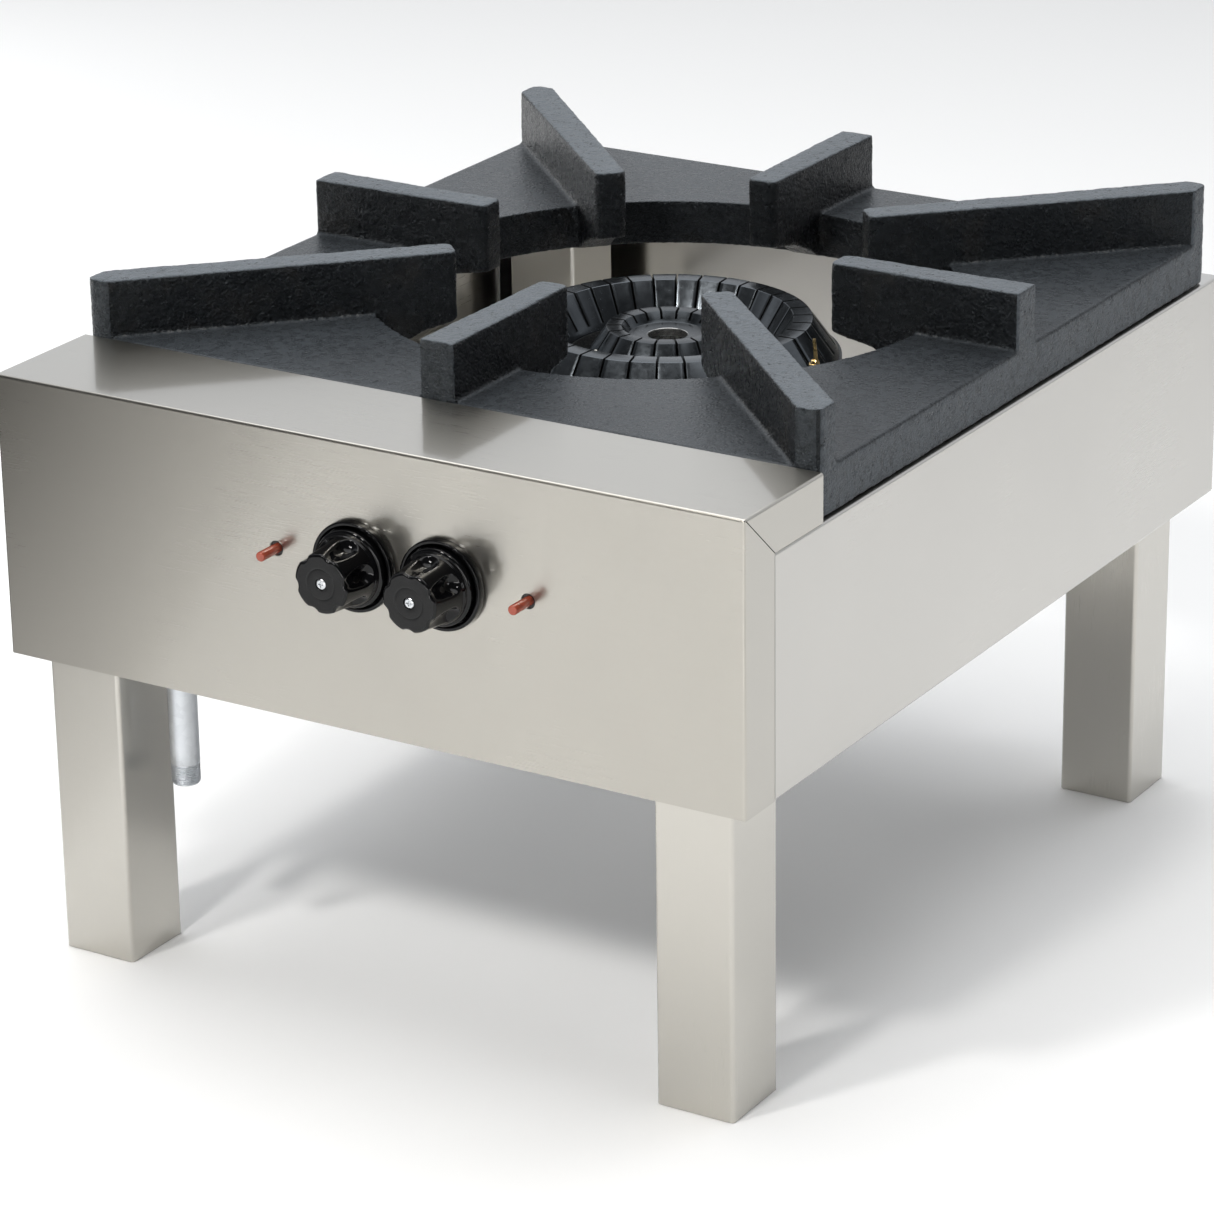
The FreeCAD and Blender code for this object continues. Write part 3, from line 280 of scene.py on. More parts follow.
def brushed_steel(name, colour, grain, rough=(0.275, 0.300), aniso=0.70, streak=0.008, folded=False, smudge=0.02, bump=0.0015, gloss=0.085):
    """Satin stainless sheet. grain is the axis index the brush lines run along; folded sheet takes
    X on level faces and the horizontal on upright ones."""
    t = Tree(name)
    co = t.coords()
    x, y, z = t.split(co)
    if folded:
        geo = t.n("ShaderNodeNewGeometry")
        nz = t.split(geo.outputs["Normal"])[2]
        flat = t.math("GREATER_THAN", t.math("ABSOLUTE", nz), 0.6)
        fine_y = t.math("MULTIPLY", y, t.math("ADD", t.math("MULTIPLY", flat, 0.97), 0.03))
        fine_z = t.math("MULTIPLY", z, t.math("SUBTRACT", 1.0, t.math("MULTIPLY", flat, 0.97)))
        vec = t.join(t.math("MULTIPLY", x, 0.012), fine_y, fine_z)
        tangent = t.join(0.0, t.math("MULTIPLY", nz, nz), 1.0)
    else:
        s = [1.0, 1.0, 1.0]
        s[grain] = 0.012
        vec = t.scaled(co, *s)
        tangent = t.join(*(((0.0, 0.0, 1.0)) if grain != 2 else (0.7, 0.7, 0.0)))
    hair = t.noise(vec, 3600.0, 2.0, 0.6)
    line = t.noise(vec, 1200.0, 2.0, 0.6)
    broad = t.noise(vec, 120.0, 2.0, 0.55)
    blotch = t.noise(co, 6.0, 3.0, 0.55)
    both = t.math("ADD", t.math("MULTIPLY", hair, 0.55), t.math("ADD", t.math("MULTIPLY", line, 0.35), t.math("MULTIPLY", broad, 0.1)))
    dark = tuple(c * (1 - streak) for c in colour)
    light = tuple(min(1.0, c * (1 + streak)) for c in colour)
    col = t.ramp(both, (0.34, dark), (0.66, light))
    worn = tuple(c * (1 - smudge) for c in (1, 1, 1))
    col = t.mix(t.span(blotch, 0.35, 0.7, 0.0, 1.0), col, t.mix(1.0, col, worn, "MULTIPLY"))
    rg = t.math("ADD", t.span(both, 0.35, 0.65, rough[0], rough[1]), t.span(blotch, 0.3, 0.7, -0.012, 0.012))
    t.to(tangent, t.bsdf.inputs["Tangent"])
    return t.done(col, rg, t.bump(both, bump, 0.0002), Metallic=1.0, Anisotropic=aniso, Coat_Weight=1.0, Coat_Roughness=gloss, Coat_IOR=1.75)


def cast_iron(name, dark, light, top, rough=(0.20, 0.32), bump=1.0, edges=0.45, plate=None, bore=None):
    """Sand-cast iron under glossy blacking: pebbled skin with open pits, painted paler on top as a sheen, and duller
    there, with painted highlights along its arrises. plate is the level of the tray floor, which is smoother, with a
    painted highlight in the corner where the fins rise from it."""
    t = Tree(name)
    co = t.coords()
    geo = t.n("ShaderNodeNewGeometry")
    nx, ny, nz = t.split(geo.outputs["Normal"])
    z = t.split(co)[2]
    up = t.span(nz, 0.45, 0.93, 0.0, 1.0)
    side = t.span(t.math("ABSOLUTE", nz), 0.2, 0.6, 1.0, 0.0)
    grit = t.noise(co, 1200.0, 2.0, 0.55)
    pebble = t.noise(co, 520.0, 2.0, 0.55)
    coarse = t.noise(co, 160.0, 3.0, 0.55)
    cloud = t.noise(co, 13.0, 3.0, 0.6)
    broad = t.noise(co, 4.0, 2.0, 0.5)
    pit_cell = t.voronoi(co, 240.0)
    pit_pick = t.noise(co, 75.0, 2.0, 0.5)
    pit = t.math("MULTIPLY", t.span(pit_cell, 0.06, 0.28, 1.0, 0.0), t.span(pit_pick, 0.52, 0.62, 0.0, 1.0))
    col = t.mix(t.span(cloud, 0.32, 0.68, 0.0, 1.0), dark, light)
    rust = t.math("MULTIPLY", side, t.span(t.noise(co, 26.0, 4.0, 0.65), 0.52, 0.74, 0.0, 0.35))
    col = t.mix(rust, col, (0.030, 0.024, 0.018))
    # painted glints: paler pebble tops on the side faces and bright specks from the grit
    col = t.mix(t.math("MULTIPLY", side, t.span(pebble, 0.54, 0.68, 0.0, 0.6)), col, tuple(min(1.0, c * 3.0) for c in light))
    col = t.mix(t.span(grit, 0.62, 0.74, 0.0, 0.7), col, tuple(min(1.0, c * 14.0) for c in light))
    low = t.span(z, plate + 0.001, plate + 0.004, 0.0, 1.0) if plate is not None else 1.0
    # painted sheen: upward faces take the paler blue-grey top colour, and are duller there
    painted_top_sheen_and_rim = t.math("MULTIPLY", up, t.math("ADD", t.span(coarse, 0.3, 0.7, 0.50, 0.80), t.span(grit, 0.35, 0.7, -0.15, 0.15)), clamp=True)
    if plate is not None:
        painted_top_sheen_and_rim = t.math("MULTIPLY", painted_top_sheen_and_rim, t.math("ADD", t.math("MULTIPLY", low, 0.75), t.span(broad, 0.35, 0.65, 0.25, 0.40)), clamp=True)
        # the outer skirt and the fin ends in it take the pale top colour as well, more on the x sides than front and
        # back, and are duller than the inside faces
        plo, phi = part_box("pan_support")
        px, py = t.split(co)[0], t.split(co)[1]
        at_x = t.math("GREATER_THAN", t.math("ABSOLUTE", px), phi.x - 0.0018)
        at_y = t.math("GREATER_THAN", t.math("ABSOLUTE", t.math("SUBTRACT", py, (plo.y + phi.y) / 2)), (phi.y - plo.y) / 2 - 0.0018)
        rim = t.math("MAXIMUM", t.math("MULTIPLY", at_x, 0.40), t.math("MULTIPLY", at_y, 0.20))
        rim = t.math("MULTIPLY", rim, t.span(coarse, 0.3, 0.7, 0.6, 1.2))
        painted_top_sheen_and_rim = t.math("MAXIMUM", painted_top_sheen_and_rim, t.math("MULTIPLY", rim, side))
    # painted sheen on the tops, and the pale rim on the outer skirt
    col = t.mix(painted_top_sheen_and_rim, col, top)
    # painted highlights along the arrises
    arris = t.span(geo.outputs["Pointiness"], 0.53, 0.62, 0.0, 1.0)
    arris = t.math("MULTIPLY", arris, t.span(grit, 0.50, 0.64, 0.1, 1.0))
    col = t.mix(t.math("MULTIPLY", arris, edges), col, tuple(min(1.0, c * 1.8) for c in top))
    col = t.mix(t.math("MULTIPLY", pit, 0.8), col, tuple(c * 0.4 for c in dark))
    if plate is not None:
        # painted highlight: a thin pale dotted line in the corner where the fins rise from the tray floor
        corner = t.math("MULTIPLY", t.span(geo.outputs["Pointiness"], 0.47, 0.42, 0.0, 1.0), t.span(t.math("ABSOLUTE", t.math("SUBTRACT", z, plate + 0.0012)), 0.0010, 0.0022, 1.0, 0.0))
        corner = t.math("MULTIPLY", corner, t.span(t.noise(co, 420.0, 2.0, 0.6), 0.50, 0.60, 0.0, 1.0))
        col = t.mix(t.math("MULTIPLY", corner, 0.85), col, (0.36, 0.36, 0.35))
    rg = t.math("ADD", t.span(coarse, 0.3, 0.7, rough[0], rough[1]), t.math("MULTIPLY", painted_top_sheen_and_rim, 0.10), clamp=True)
    h = t.math("ADD", t.math("MULTIPLY", pebble, 1.0), t.math("SUBTRACT", t.math("ADD", t.math("MULTIPLY", coarse, 0.35), t.math("MULTIPLY", grit, 0.30)), t.math("MULTIPLY", pit, 0.9)))
    if plate is not None:
        h = t.math("MULTIPLY", h, t.math("SUBTRACT", 1.0, t.math("MULTIPLY", up, t.math("SUBTRACT", 0.72, t.math("MULTIPLY", low, 0.42)))))
    t.bsdf.inputs["Specular Tint"].default_value = (0.84, 0.93, 1.0, 1.0)
    t.bsdf.inputs["Specular IOR Level"].default_value = 0.38
    if bore is not None:
        # the centre hole is machined bright
        bx, by, br = bore
        dx, dy = t.math("ADD", t.split(co)[0], -bx), t.math("ADD", t.split(co)[1], -by)
        r2 = t.math("ADD", t.math("MULTIPLY", dx, dx), t.math("MULTIPLY", dy, dy))
        clean = t.math("LESS_THAN", r2, br * br)
        col = t.mix(clean, col, (0.46, 0.46, 0.45))
        rg = t.math("SUBTRACT", rg, t.math("MULTIPLY", clean, 0.25), clamp=True)
        t.to(clean, t.bsdf.inputs["Metallic"])
        return t.done(col, rg, t.bump(h, bump * 0.4, 0.0008), IOR=1.40)
    return t.done(col, rg, t.bump(h, bump, 0.0020), Metallic=0.0, IOR=1.40)


def turned_iron(name, centre, dark, light):
    """Machined iron of the crowns: fine concentric tool marks and a heat-darkened skin."""
    t = Tree(name)
    co = t.coords()
    m = t.scaled(co, 1, 1, 1, (-centre[0], -centre[1], 0.0))
    x, y, z = t.split(m)
    r = t.math("SQRT", t.math("ADD", t.math("MULTIPLY", x, x), t.math("MULTIPLY", y, y)))
    ringv = t.join(t.math("MULTIPLY", r, 1.0), t.math("MULTIPLY", z, 1.0), 0.0)
    tool = t.noise(ringv, 1500.0, 2.0, 0.6)
    skin = t.noise(co, 260.0, 3.0, 0.6)
    cloud = t.noise(co, 28.0, 3.0, 0.6)
    col = t.mix(t.span(cloud, 0.3, 0.7, 0.0, 1.0), dark, light)
    col = t.mix(t.span(tool, 0.35, 0.7, 0.0, 0.25), col, tuple(min(1.0, c * 1.4) for c in light))
    col = t.mix(t.span(skin, 0.60, 0.75, 0.0, 0.2), col, tuple(c * 0.7 for c in dark))
    col = t.mix(t.math("LESS_THAN", r, 0.0152), col, (0.46, 0.46, 0.45))
    rg = t.math("ADD", t.span(skin, 0.3, 0.7, 0.18, 0.27), t.span(cloud, 0.3, 0.7, -0.02, 0.02))
    h = t.math("ADD", t.math("MULTIPLY", tool, 0.5), t.math("MULTIPLY", skin, 0.5))
    return t.done(col, rg, t.bump(h, 0.05, 0.0003), Metallic=0.95)


def plain_metal(name, colour, rough=(0.25, 0.38), spots=0.12, scale=160.0, bump=0.12, metallic=1.0):
    """Small turned, plated or drawn parts."""
    t = Tree(name)
    co = t.coords()
    a = t.noise(co, scale, 3.0, 0.6)
    b = t.noise(co, scale * 7.0, 2.0, 0.5)
    c = t.noise(co, scale * 0.18, 2.0, 0.5)
    col = t.mix(t.span(a, 0.32, 0.68, 0.0, 1.0), tuple(k * (1 - spots) for k in colour), tuple(min(1.0, k * (1 + spots * 0.6)) for k in colour))
    col = t.mix(t.span(c, 0.35, 0.65, 0.0, 0.35), col, tuple(k * (1 - spots * 2) for k in colour))
    rg = t.math("ADD", t.span(a, 0.3, 0.7, rough[0], rough[1]), t.span(b, 0.3, 0.7, -0.03, 0.03))
    return t.done(col, rg, t.bump(t.math("ADD", a, t.math("MULTIPLY", b, 0.5)), bump, 0.0003), Metallic=metallic)


def galvanised(name):
    t = Tree(name)
    co = t.coords()
    spangle = t.voronoi(co, 190.0, out="Color")
    tone = t.split(spangle)[0]
    fine = t.noise(co, 900.0, 3.0, 0.6)
    drip = t.noise(t.scaled(co, 1, 1, 0.18), 130.0, 3.0, 0.6)
    col = t.mix(t.span(tone, 0.0, 1.0, 0.0, 1.0), (0.60, 0.625, 0.655), (0.67, 0.695, 0.725))
    col = t.mix(t.span(drip, 0.5, 0.75, 0.0, 0.25), col, (0.42, 0.44, 0.46))
    rg = t.math("ADD", t.span(tone, 0, 1, 0.34, 0.46), t.span(fine, 0.3, 0.7, -0.04, 0.05))
    h = t.math("ADD", t.math("MULTIPLY", fine, 0.3), t.math("MULTIPLY", drip, 0.8))
    return t.done(col, rg, t.bump(h, 0.25, 0.0005), Metallic=0.9)


def moulded(name, colour, rough=(0.08, 0.14), coat=0.0, peel=0.03, mottled=0.08, scale=300.0, dust=0.0, ior=1.5):
    """Phenolic or ABS moulding: near-flat colour, slight orange peel, faint dust and handling wear."""
    t = Tree(name)
    co = t.coords()
    a = t.noise(co, scale, 2.0, 0.5)
    b = t.noise(co, scale * 9.0, 2.0, 0.6)
    c = t.noise(co, 45.0, 3.0, 0.55)
    col = t.mix(t.span(a, 0.3, 0.7, 0.0, 1.0), tuple(k * (1 - mottled) for k in colour), tuple(min(1.0, k * (1 + mottled)) for k in colour))
    if dust:
        col = t.mix(t.math("MULTIPLY", t.span(b, 0.68, 0.78, 0.0, 1.0), dust), col, (0.30, 0.30, 0.30))
    rg = t.math("ADD", t.span(c, 0.35, 0.7, rough[0], rough[1]), t.span(b, 0.3, 0.7, -0.01, 0.015))
    return t.done(col, rg, t.bump(t.math("ADD", a, t.math("MULTIPLY", b, 0.25)), peel, 0.0004), Metallic=0.0, Coat_Weight=coat, IOR=ior)


TRAY_Z = 0.440
BURNER_Y = 0.5 * (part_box("outer_crown")[0].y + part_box("outer_crown")[1].y)
M = {
    # one stainless steel in three copies: the side and leg copies are painted lighter than the front, as lit copies
    "stainless_front": brushed_steel("stainless_front_satin", (0.430, 0.409, 0.364), 0, folded=True),
    "stainless_sides": brushed_steel("stainless_side_satin", (0.492, 0.475, 0.442), 1),
    "stainless_legs": brushed_steel("stainless_leg_satin", (0.510, 0.490, 0.445), 2),
    "inner_steel": plain_metal("inner_steel_rolled", (0.50, 0.50, 0.49), (0.34, 0.46), 0.10, 60.0, 0.10),
    "zinc_fasteners": plain_metal("zinc_plated", (0.66, 0.68, 0.70), (0.22, 0.32), 0.08, 400.0, 0.08),
    "cast_grate": cast_iron("cast_grate_iron", (0.0007, 0.0008, 0.0010), (0.0022, 0.0025, 0.0031), (0.138, 0.157, 0.176), plate=TRAY_Z),
    "cast_burner": cast_iron("cast_burner_iron", (0.016, 0.0165, 0.017), (0.032, 0.033, 0.034), (0.060, 0.061, 0.063), (0.45, 0.60), edges=0.3, bore=(0.0, BURNER_Y, 0.0160)),
    "crown_iron": turned_iron("crown_turned_iron", (0.0, BURNER_Y), (0.044, 0.049, 0.054), (0.062, 0.069, 0.076)),
    "venturi_steel": plain_metal("venturi_grey", (0.40, 0.40, 0.395), (0.40, 0.55), 0.12, 90.0, 0.2, 0.9),
    "brass": plain_metal("brass_turned", (0.72, 0.53, 0.25), (0.22, 0.34), 0.14, 220.0, 0.08),
    "spindle_steel": plain_metal("spindle_bright", (0.60, 0.60, 0.60), (0.2, 0.3), 0.06, 300.0, 0.05),
    "galvanised_pipe": galvanised("galvanised_zinc"),
    "gas_tube_copper": plain_metal("copper_drawn", (0.70, 0.39, 0.27), (0.24, 0.36), 0.16, 70.0, 0.06),
    "knob_black": moulded("knob_gloss_black", (0.0028, 0.0028, 0.0032), (0.030, 0.055), 0.0, 0.010, 0.1, 160.0, 0.0, ior=1.36),
    "bezel_black": moulded("bezel_gloss_black", (0.0028, 0.0028, 0.0032), (0.05, 0.09), 0.0, 0.010, 0.1, 160.0, 0.0, ior=1.33),
    "button_red": moulded("button_red_brown", (0.30, 0.055, 0.028), (0.16, 0.24), 0.15, 0.02, 0.12, 260.0, 0.0),
    "igniter_black": moulded("igniter_moulding", (0.018, 0.018, 0.018), (0.30, 0.42), 0.0, 0.10, 0.12, 300.0, 0.0),
    "ceramic_white": moulded("ceramic_glazed", (0.74, 0.71, 0.65), (0.16, 0.26), 0.3, 0.04, 0.04, 200.0, 0.0),
    "lead_black": moulded("lead_sleeving", (0.020, 0.020, 0.021), (0.40, 0.55), 0.0, 0.2, 0.15, 350.0, 0.0),
}
knob_face = moulded("knob_face_matt", (0.0045, 0.0046, 0.0050), (0.40, 0.52), 0.0, 0.30, 0.25, 900.0, 0.12, ior=1.40)
# the outer crown's copy of the turned iron is painted lighter than the inner crown's, as a lit copy
crown_outer = turned_iron("crown_outer_turned_iron", (0.0, BURNER_Y), (0.078, 0.087, 0.096), (0.108, 0.119, 0.130))
# near-black for the slot walls and teeth ends of the crowns: painted shade in the slots
slot_painted_shade = moulded("slot_painted_shade", (0.0035, 0.0035, 0.0035), (0.65, 0.80), 0.0, 0.30, 0.25, 900.0, 0.0, ior=1.25)

slot_of = {}
for m in frame["record"].get("materials", []):
    for n in m.get("nodes", []):
        slot_of[n] = m["slot"]
for name, ob in nodes.items():
    slot_name = slot_of.get(name) or (ob.material_slots[0].material.name if ob.material_slots else None)
    if slot_name in M:
        for s in ob.material_slots:
            s.material = M[slot_name]


# ------------------------------------------------------------------ pan support casting
def casting_copy(node, name, body, mat, voxel, relief):
    """The casting as it leaves the sand: softened edges and roots, and an uneven skin, inside the CAD box."""
    lo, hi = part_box(node)
    src = nodes[node]
    me = src.data.copy()
    me.name = name
    ob = bpy.data.objects.new(name, me)
    scene.collection.objects.link(ob)
    bm = bmesh.new()
    bm.from_mesh(me)
    bmesh.ops.remove_doubles(bm, verts=bm.verts, dist=2e-6)
    bm.to_mesh(me)
    bm.free()
    rm = ob.modifiers.new("remesh", "REMESH")
    rm.mode = "VOXEL"
    rm.voxel_size = voxel
    rm.use_smooth_shade = True
    sm = ob.modifiers.new("soften", "SMOOTH")
    sm.factor = 0.5
    sm.iterations = 3
    dg = bpy.context.evaluated_depsgraph_get()
    fin = bpy.data.meshes.new_from_object(ob.evaluated_get(dg), depsgraph=dg)
    ob.modifiers.clear()
    ob.data = fin
    bpy.data.meshes.remove(me)
    n = len(fin.vertices)
    co = np.empty(n * 3, np.float32)
    fin.vertices.foreach_get("co", co)
    co = co.reshape(-1, 3)
    nor = np.empty(n * 3, np.float32)
    fin.vertices.foreach_get("normal", nor)
    nor = nor.reshape(-1, 3)
    d = np.empty(n, np.float32)
    for i in range(n):
        p = Vector((float(co[i, 0]), float(co[i, 1]), float(co[i, 2])))
        d[i] = (
            noise.noise(p * 22.0) * 0.26
            + noise.noise(p * 90.0 + Vector((5.1, 0.3, 2.2))) * 0.34
            + noise.noise(p * 280.0 + Vector((1.7, 8.3, 4.1))) * 0.32
        )
    # the tray floor came off a flat part of the pattern
    flat = (nor[:, 2] > 0.75) & (np.abs(co[:, 2] - TRAY_Z) < 0.0016)
    d[flat] *= 0.12
    co += nor * ((d - 0.35) * relief)[:, None]
    co = np.clip(co, np.array(lo, np.float32) + 1e-5, np.array(hi, np.float32) - 1e-5)
    fin.vertices.foreach_set("co", co.ravel())
    fin.materials.clear()
    fin.materials.append(mat)
    fin.polygons.foreach_set("material_index", np.zeros(len(fin.polygons), np.int32))
    fin.polygons.foreach_set("use_smooth", np.ones(len(fin.polygons), bool))
    fin.update()
    fin.name = name
    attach(ob, body)
    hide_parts(node)
    return ob


casting_copy(
    "pan_support", "pan_support_casting", "pan_support_body", M["cast_grate"],
    0.0016, 0.0009,
)


# ------------------------------------------------------------------ crowns
def crown_piece(name, node, body, profile, radii, floor, count, phase, slot_w, mat):
    """One toothed burner ring: a continuous foot and separate teeth with broken edges."""
    lo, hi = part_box(node)
    cx, cy = (lo.x + hi.x) / 2, (lo.y + hi.y) / 2
    prof = rounded(profile, radii, 3)
    foot, tooth = [], []
    n = len(prof)

    def clip(points, keep_above):
        out = []
        m = len(points)
        for i in range(m):
            a, b = points[i], points[(i + 1) % m]
            ina = (a[1] >= floor) if keep_above else (a[1] <= floor)
            inb = (b[1] >= floor) if keep_above else (b[1] <= floor)
            if ina:
                out.append(a)
            if ina != inb:
                f = (floor - a[1]) / (b[1] - a[1])
                out.append((a[0] + (b[0] - a[0]) * f, floor))
        return out

    # faces in zone 1, the slot walls and teeth ends, take the near-black slot material: painted shade in the slots
    verts, faces, zone = [], [], []
    # the ring below the slots, walked as two walls joined under the teeth
    low = clip(prof, False)
    seg = count * 6
    rows = [[(r * math.cos(2 * math.pi * k / seg), r * math.sin(2 * math.pi * k / seg), h) for k in range(seg)] for r, h in low]
    v, f = ring_surface(rows, (cx, cy, 0), "Z")
    verts += v
    faces += f
    zone += [0] * len(f)
    # the teeth
    high = clip(prof, True)
    m = len(high)
    cen = Vector((sum(p[0] for p in high) / m, sum(p[1] for p in high) / m))
    steps = 7
    break_w = 0.00010
    for k in range(count):
        mid = math.radians(phase) + 2 * math.pi * (k + 0.5) / count
        half = math.pi / count
        base = len(verts)
        stations = []
        for s in range(-1, steps + 1):
            if s in (-1, steps):
                side = -1 if s == -1 else 1
                inset, gap = break_w, 0.0
            else:
                side = None
                inset, gap = 0.0, break_w
            ring = []
            for i, (r, h) in enumerate(high):
                a = Vector(high[i - 1])
                b = Vector(high[(i + 1) % m])
                p = Vector((r, h))
                tang = (b - a)
                if tang.length > 0:
                    nrm = Vector((-tang.y, tang.x)).normalized()
                    if nrm.dot(cen - p) < 0:
                        nrm = -nrm
                    if inset and h > floor + 1e-5:
                        p = p + nrm * inset
                ha = half - math.asin(min(1.0, (slot_w / 2 + gap) / max(p.x, 1e-4)))
                if side is not None:
                    ang = mid + side * ha
                else:
                    ang = mid + ha * (-1 + 2 * s / (steps - 1))
                ring.append(Vector((cx + p.x * math.cos(ang), cy + p.x * math.sin(ang), p.y)))
            stations.append(ring)
        for ring in stations:
            verts += ring
        ns = len(stations)
        for s in range(ns - 1):
            for i in range(m):
                j = (i + 1) % m
                faces.append((base + s * m + i, base + s * m + j, base + (s + 1) * m + j, base + (s + 1) * m + i))
                zone.append(1 if s in (0, ns - 2) else 0)
        faces.append(tuple(base + i for i in reversed(range(m))))
        faces.append(tuple(base + (ns - 1) * m + i for i in range(m)))
        zone += [1, 1]
    ob = new_piece(name, verts, faces, body, (node,), (mat, slot_painted_shade), zone=zone)
    sharpen(ob, 28.0)
    return ob


# outlines as (radius, level), in metres
o_lo, o_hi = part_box("outer_crown")
i_lo, i_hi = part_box("inner_crown")
TOP, SEAT = o_hi.z, o_hi.z - 0.028
outer_profile = [
    (0.121, SEAT - 0.005), (0.121, SEAT), (0.1265, SEAT), (0.1062, TOP), (0.0924, TOP), (0.075, SEAT), (0.0805, SEAT), (0.0805, SEAT - 0.005),
    (0.084, SEAT - 0.005), (0.084, SEAT + 0.003), (0.0955, TOP - 0.005), (0.103, TOP - 0.005), (0.117, SEAT + 0.003), (0.117, SEAT - 0.005),
]
crown_piece(
    "outer_crown_turned", "outer_crown", "outer_crown_body", outer_profile,
    [0, 0, 0.0004, 0.0007, 0.0007, 0.0004, 0, 0, 0, 0, 0, 0, 0, 0], SEAT + 0.0045, 34, 0.2, 0.0017, crown_outer,
)
IT = i_hi.z
inner_profile = [
    (0.0545, SEAT - 0.0045), (0.0545, SEAT), (0.060, SEAT), (0.0448, IT), (0.034, IT), (0.0285, IT - 0.007), (0.0146, IT - 0.007), (0.0146, IT - 0.013),
    (0.0315, IT - 0.013), (0.0365, IT - 0.005), (0.0423, IT - 0.005), (0.0515, SEAT + 0.003), (0.0515, SEAT - 0.0045),
]


def inner_crown_piece():
    """Slots reach in to radius 30 only, so the disc stays whole: teeth outside, a turned disc inside."""
    lo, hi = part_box("inner_crown")
    cx, cy = (lo.x + hi.x) / 2, (lo.y + hi.y) / 2
    split = 0.0300
    h_split = IT - 0.007 + (split - 0.0285) * (0.007 / 0.0055)
    disc = [(0.0146, IT - 0.007), (0.0285, IT - 0.007), (split, h_split), (split, IT - 0.013), (0.0146, IT - 0.013)]
    disc = rounded(disc, [0.0009, 0.0006, 0, 0, 0.0003], 3)
    seg = 108
    v, f = lathe(disc, (cx, cy, 0), "Z", seg)
    ob = new_piece("inner_crown_disc", v, f, "inner_crown_body", (), (M["crown_iron"],))
    sharpen(ob, 28.0)
    teeth = [
        (0.0545, SEAT - 0.0045), (0.0545, SEAT), (0.060, SEAT), (0.0448, IT), (0.034, IT), (split, h_split), (split, IT - 0.013),
        (0.0315, IT - 0.013), (0.0365, IT - 0.005), (0.0423, IT - 0.005), (0.0515, SEAT + 0.003), (0.0515, SEAT - 0.0045),
    ]
    crown_piece(
        "inner_crown_turned", "inner_crown", "inner_crown_body", teeth,
        [0, 0, 0.0004, 0.0006, 0.0006, 0, 0, 0, 0, 0, 0, 0], SEAT + 0.0045, 18, 9.0, 0.0017, M["crown_iron"],
    )


inner_crown_piece()


def probe_gland():
    """Hexagon gland nut and collar round the outer flame probe."""
    me = nodes["flame_probe_outer"].data
    co = np.empty(len(me.vertices) * 3, np.float32)
    me.vertices.foreach_get("co", co)
    co = co.reshape(-1, 3)
    tip = co[co[:, 2] > co[:, 2].max() - 0.003]
    x, y = float(tip[:, 0].min() + tip[:, 0].max()) / 2, float(tip[:, 1].min() + tip[:, 1].max()) / 2
    hexa = rounded([(0.0016, 0.3955), (0.0044, 0.3955), (0.0044, 0.4022), (0.0016, 0.4022)], [0, 0.0004, 0.0005, 0], 2)
    collar = rounded([(0.0013, 0.4020), (0.0029, 0.4020), (0.0026, 0.4046), (0.0013, 0.4050)], [0, 0, 0.0004, 0], 2)
    for tag, prof, seg in (("nut", hexa, 6), ("collar", collar, 24)):
        v, f = lathe(prof, (x, y, 0), "Z", seg)
        ob = new_piece("flame_probe_" + tag, v, f, "stove_body", (), (M["brass"],), smooth=tag != "nut")
        sharpen(ob, 30.0)


probe_gland()


# ------------------------------------------------------------------ knobs, bezels, buttons
PANEL_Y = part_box("front_panel")[0].y


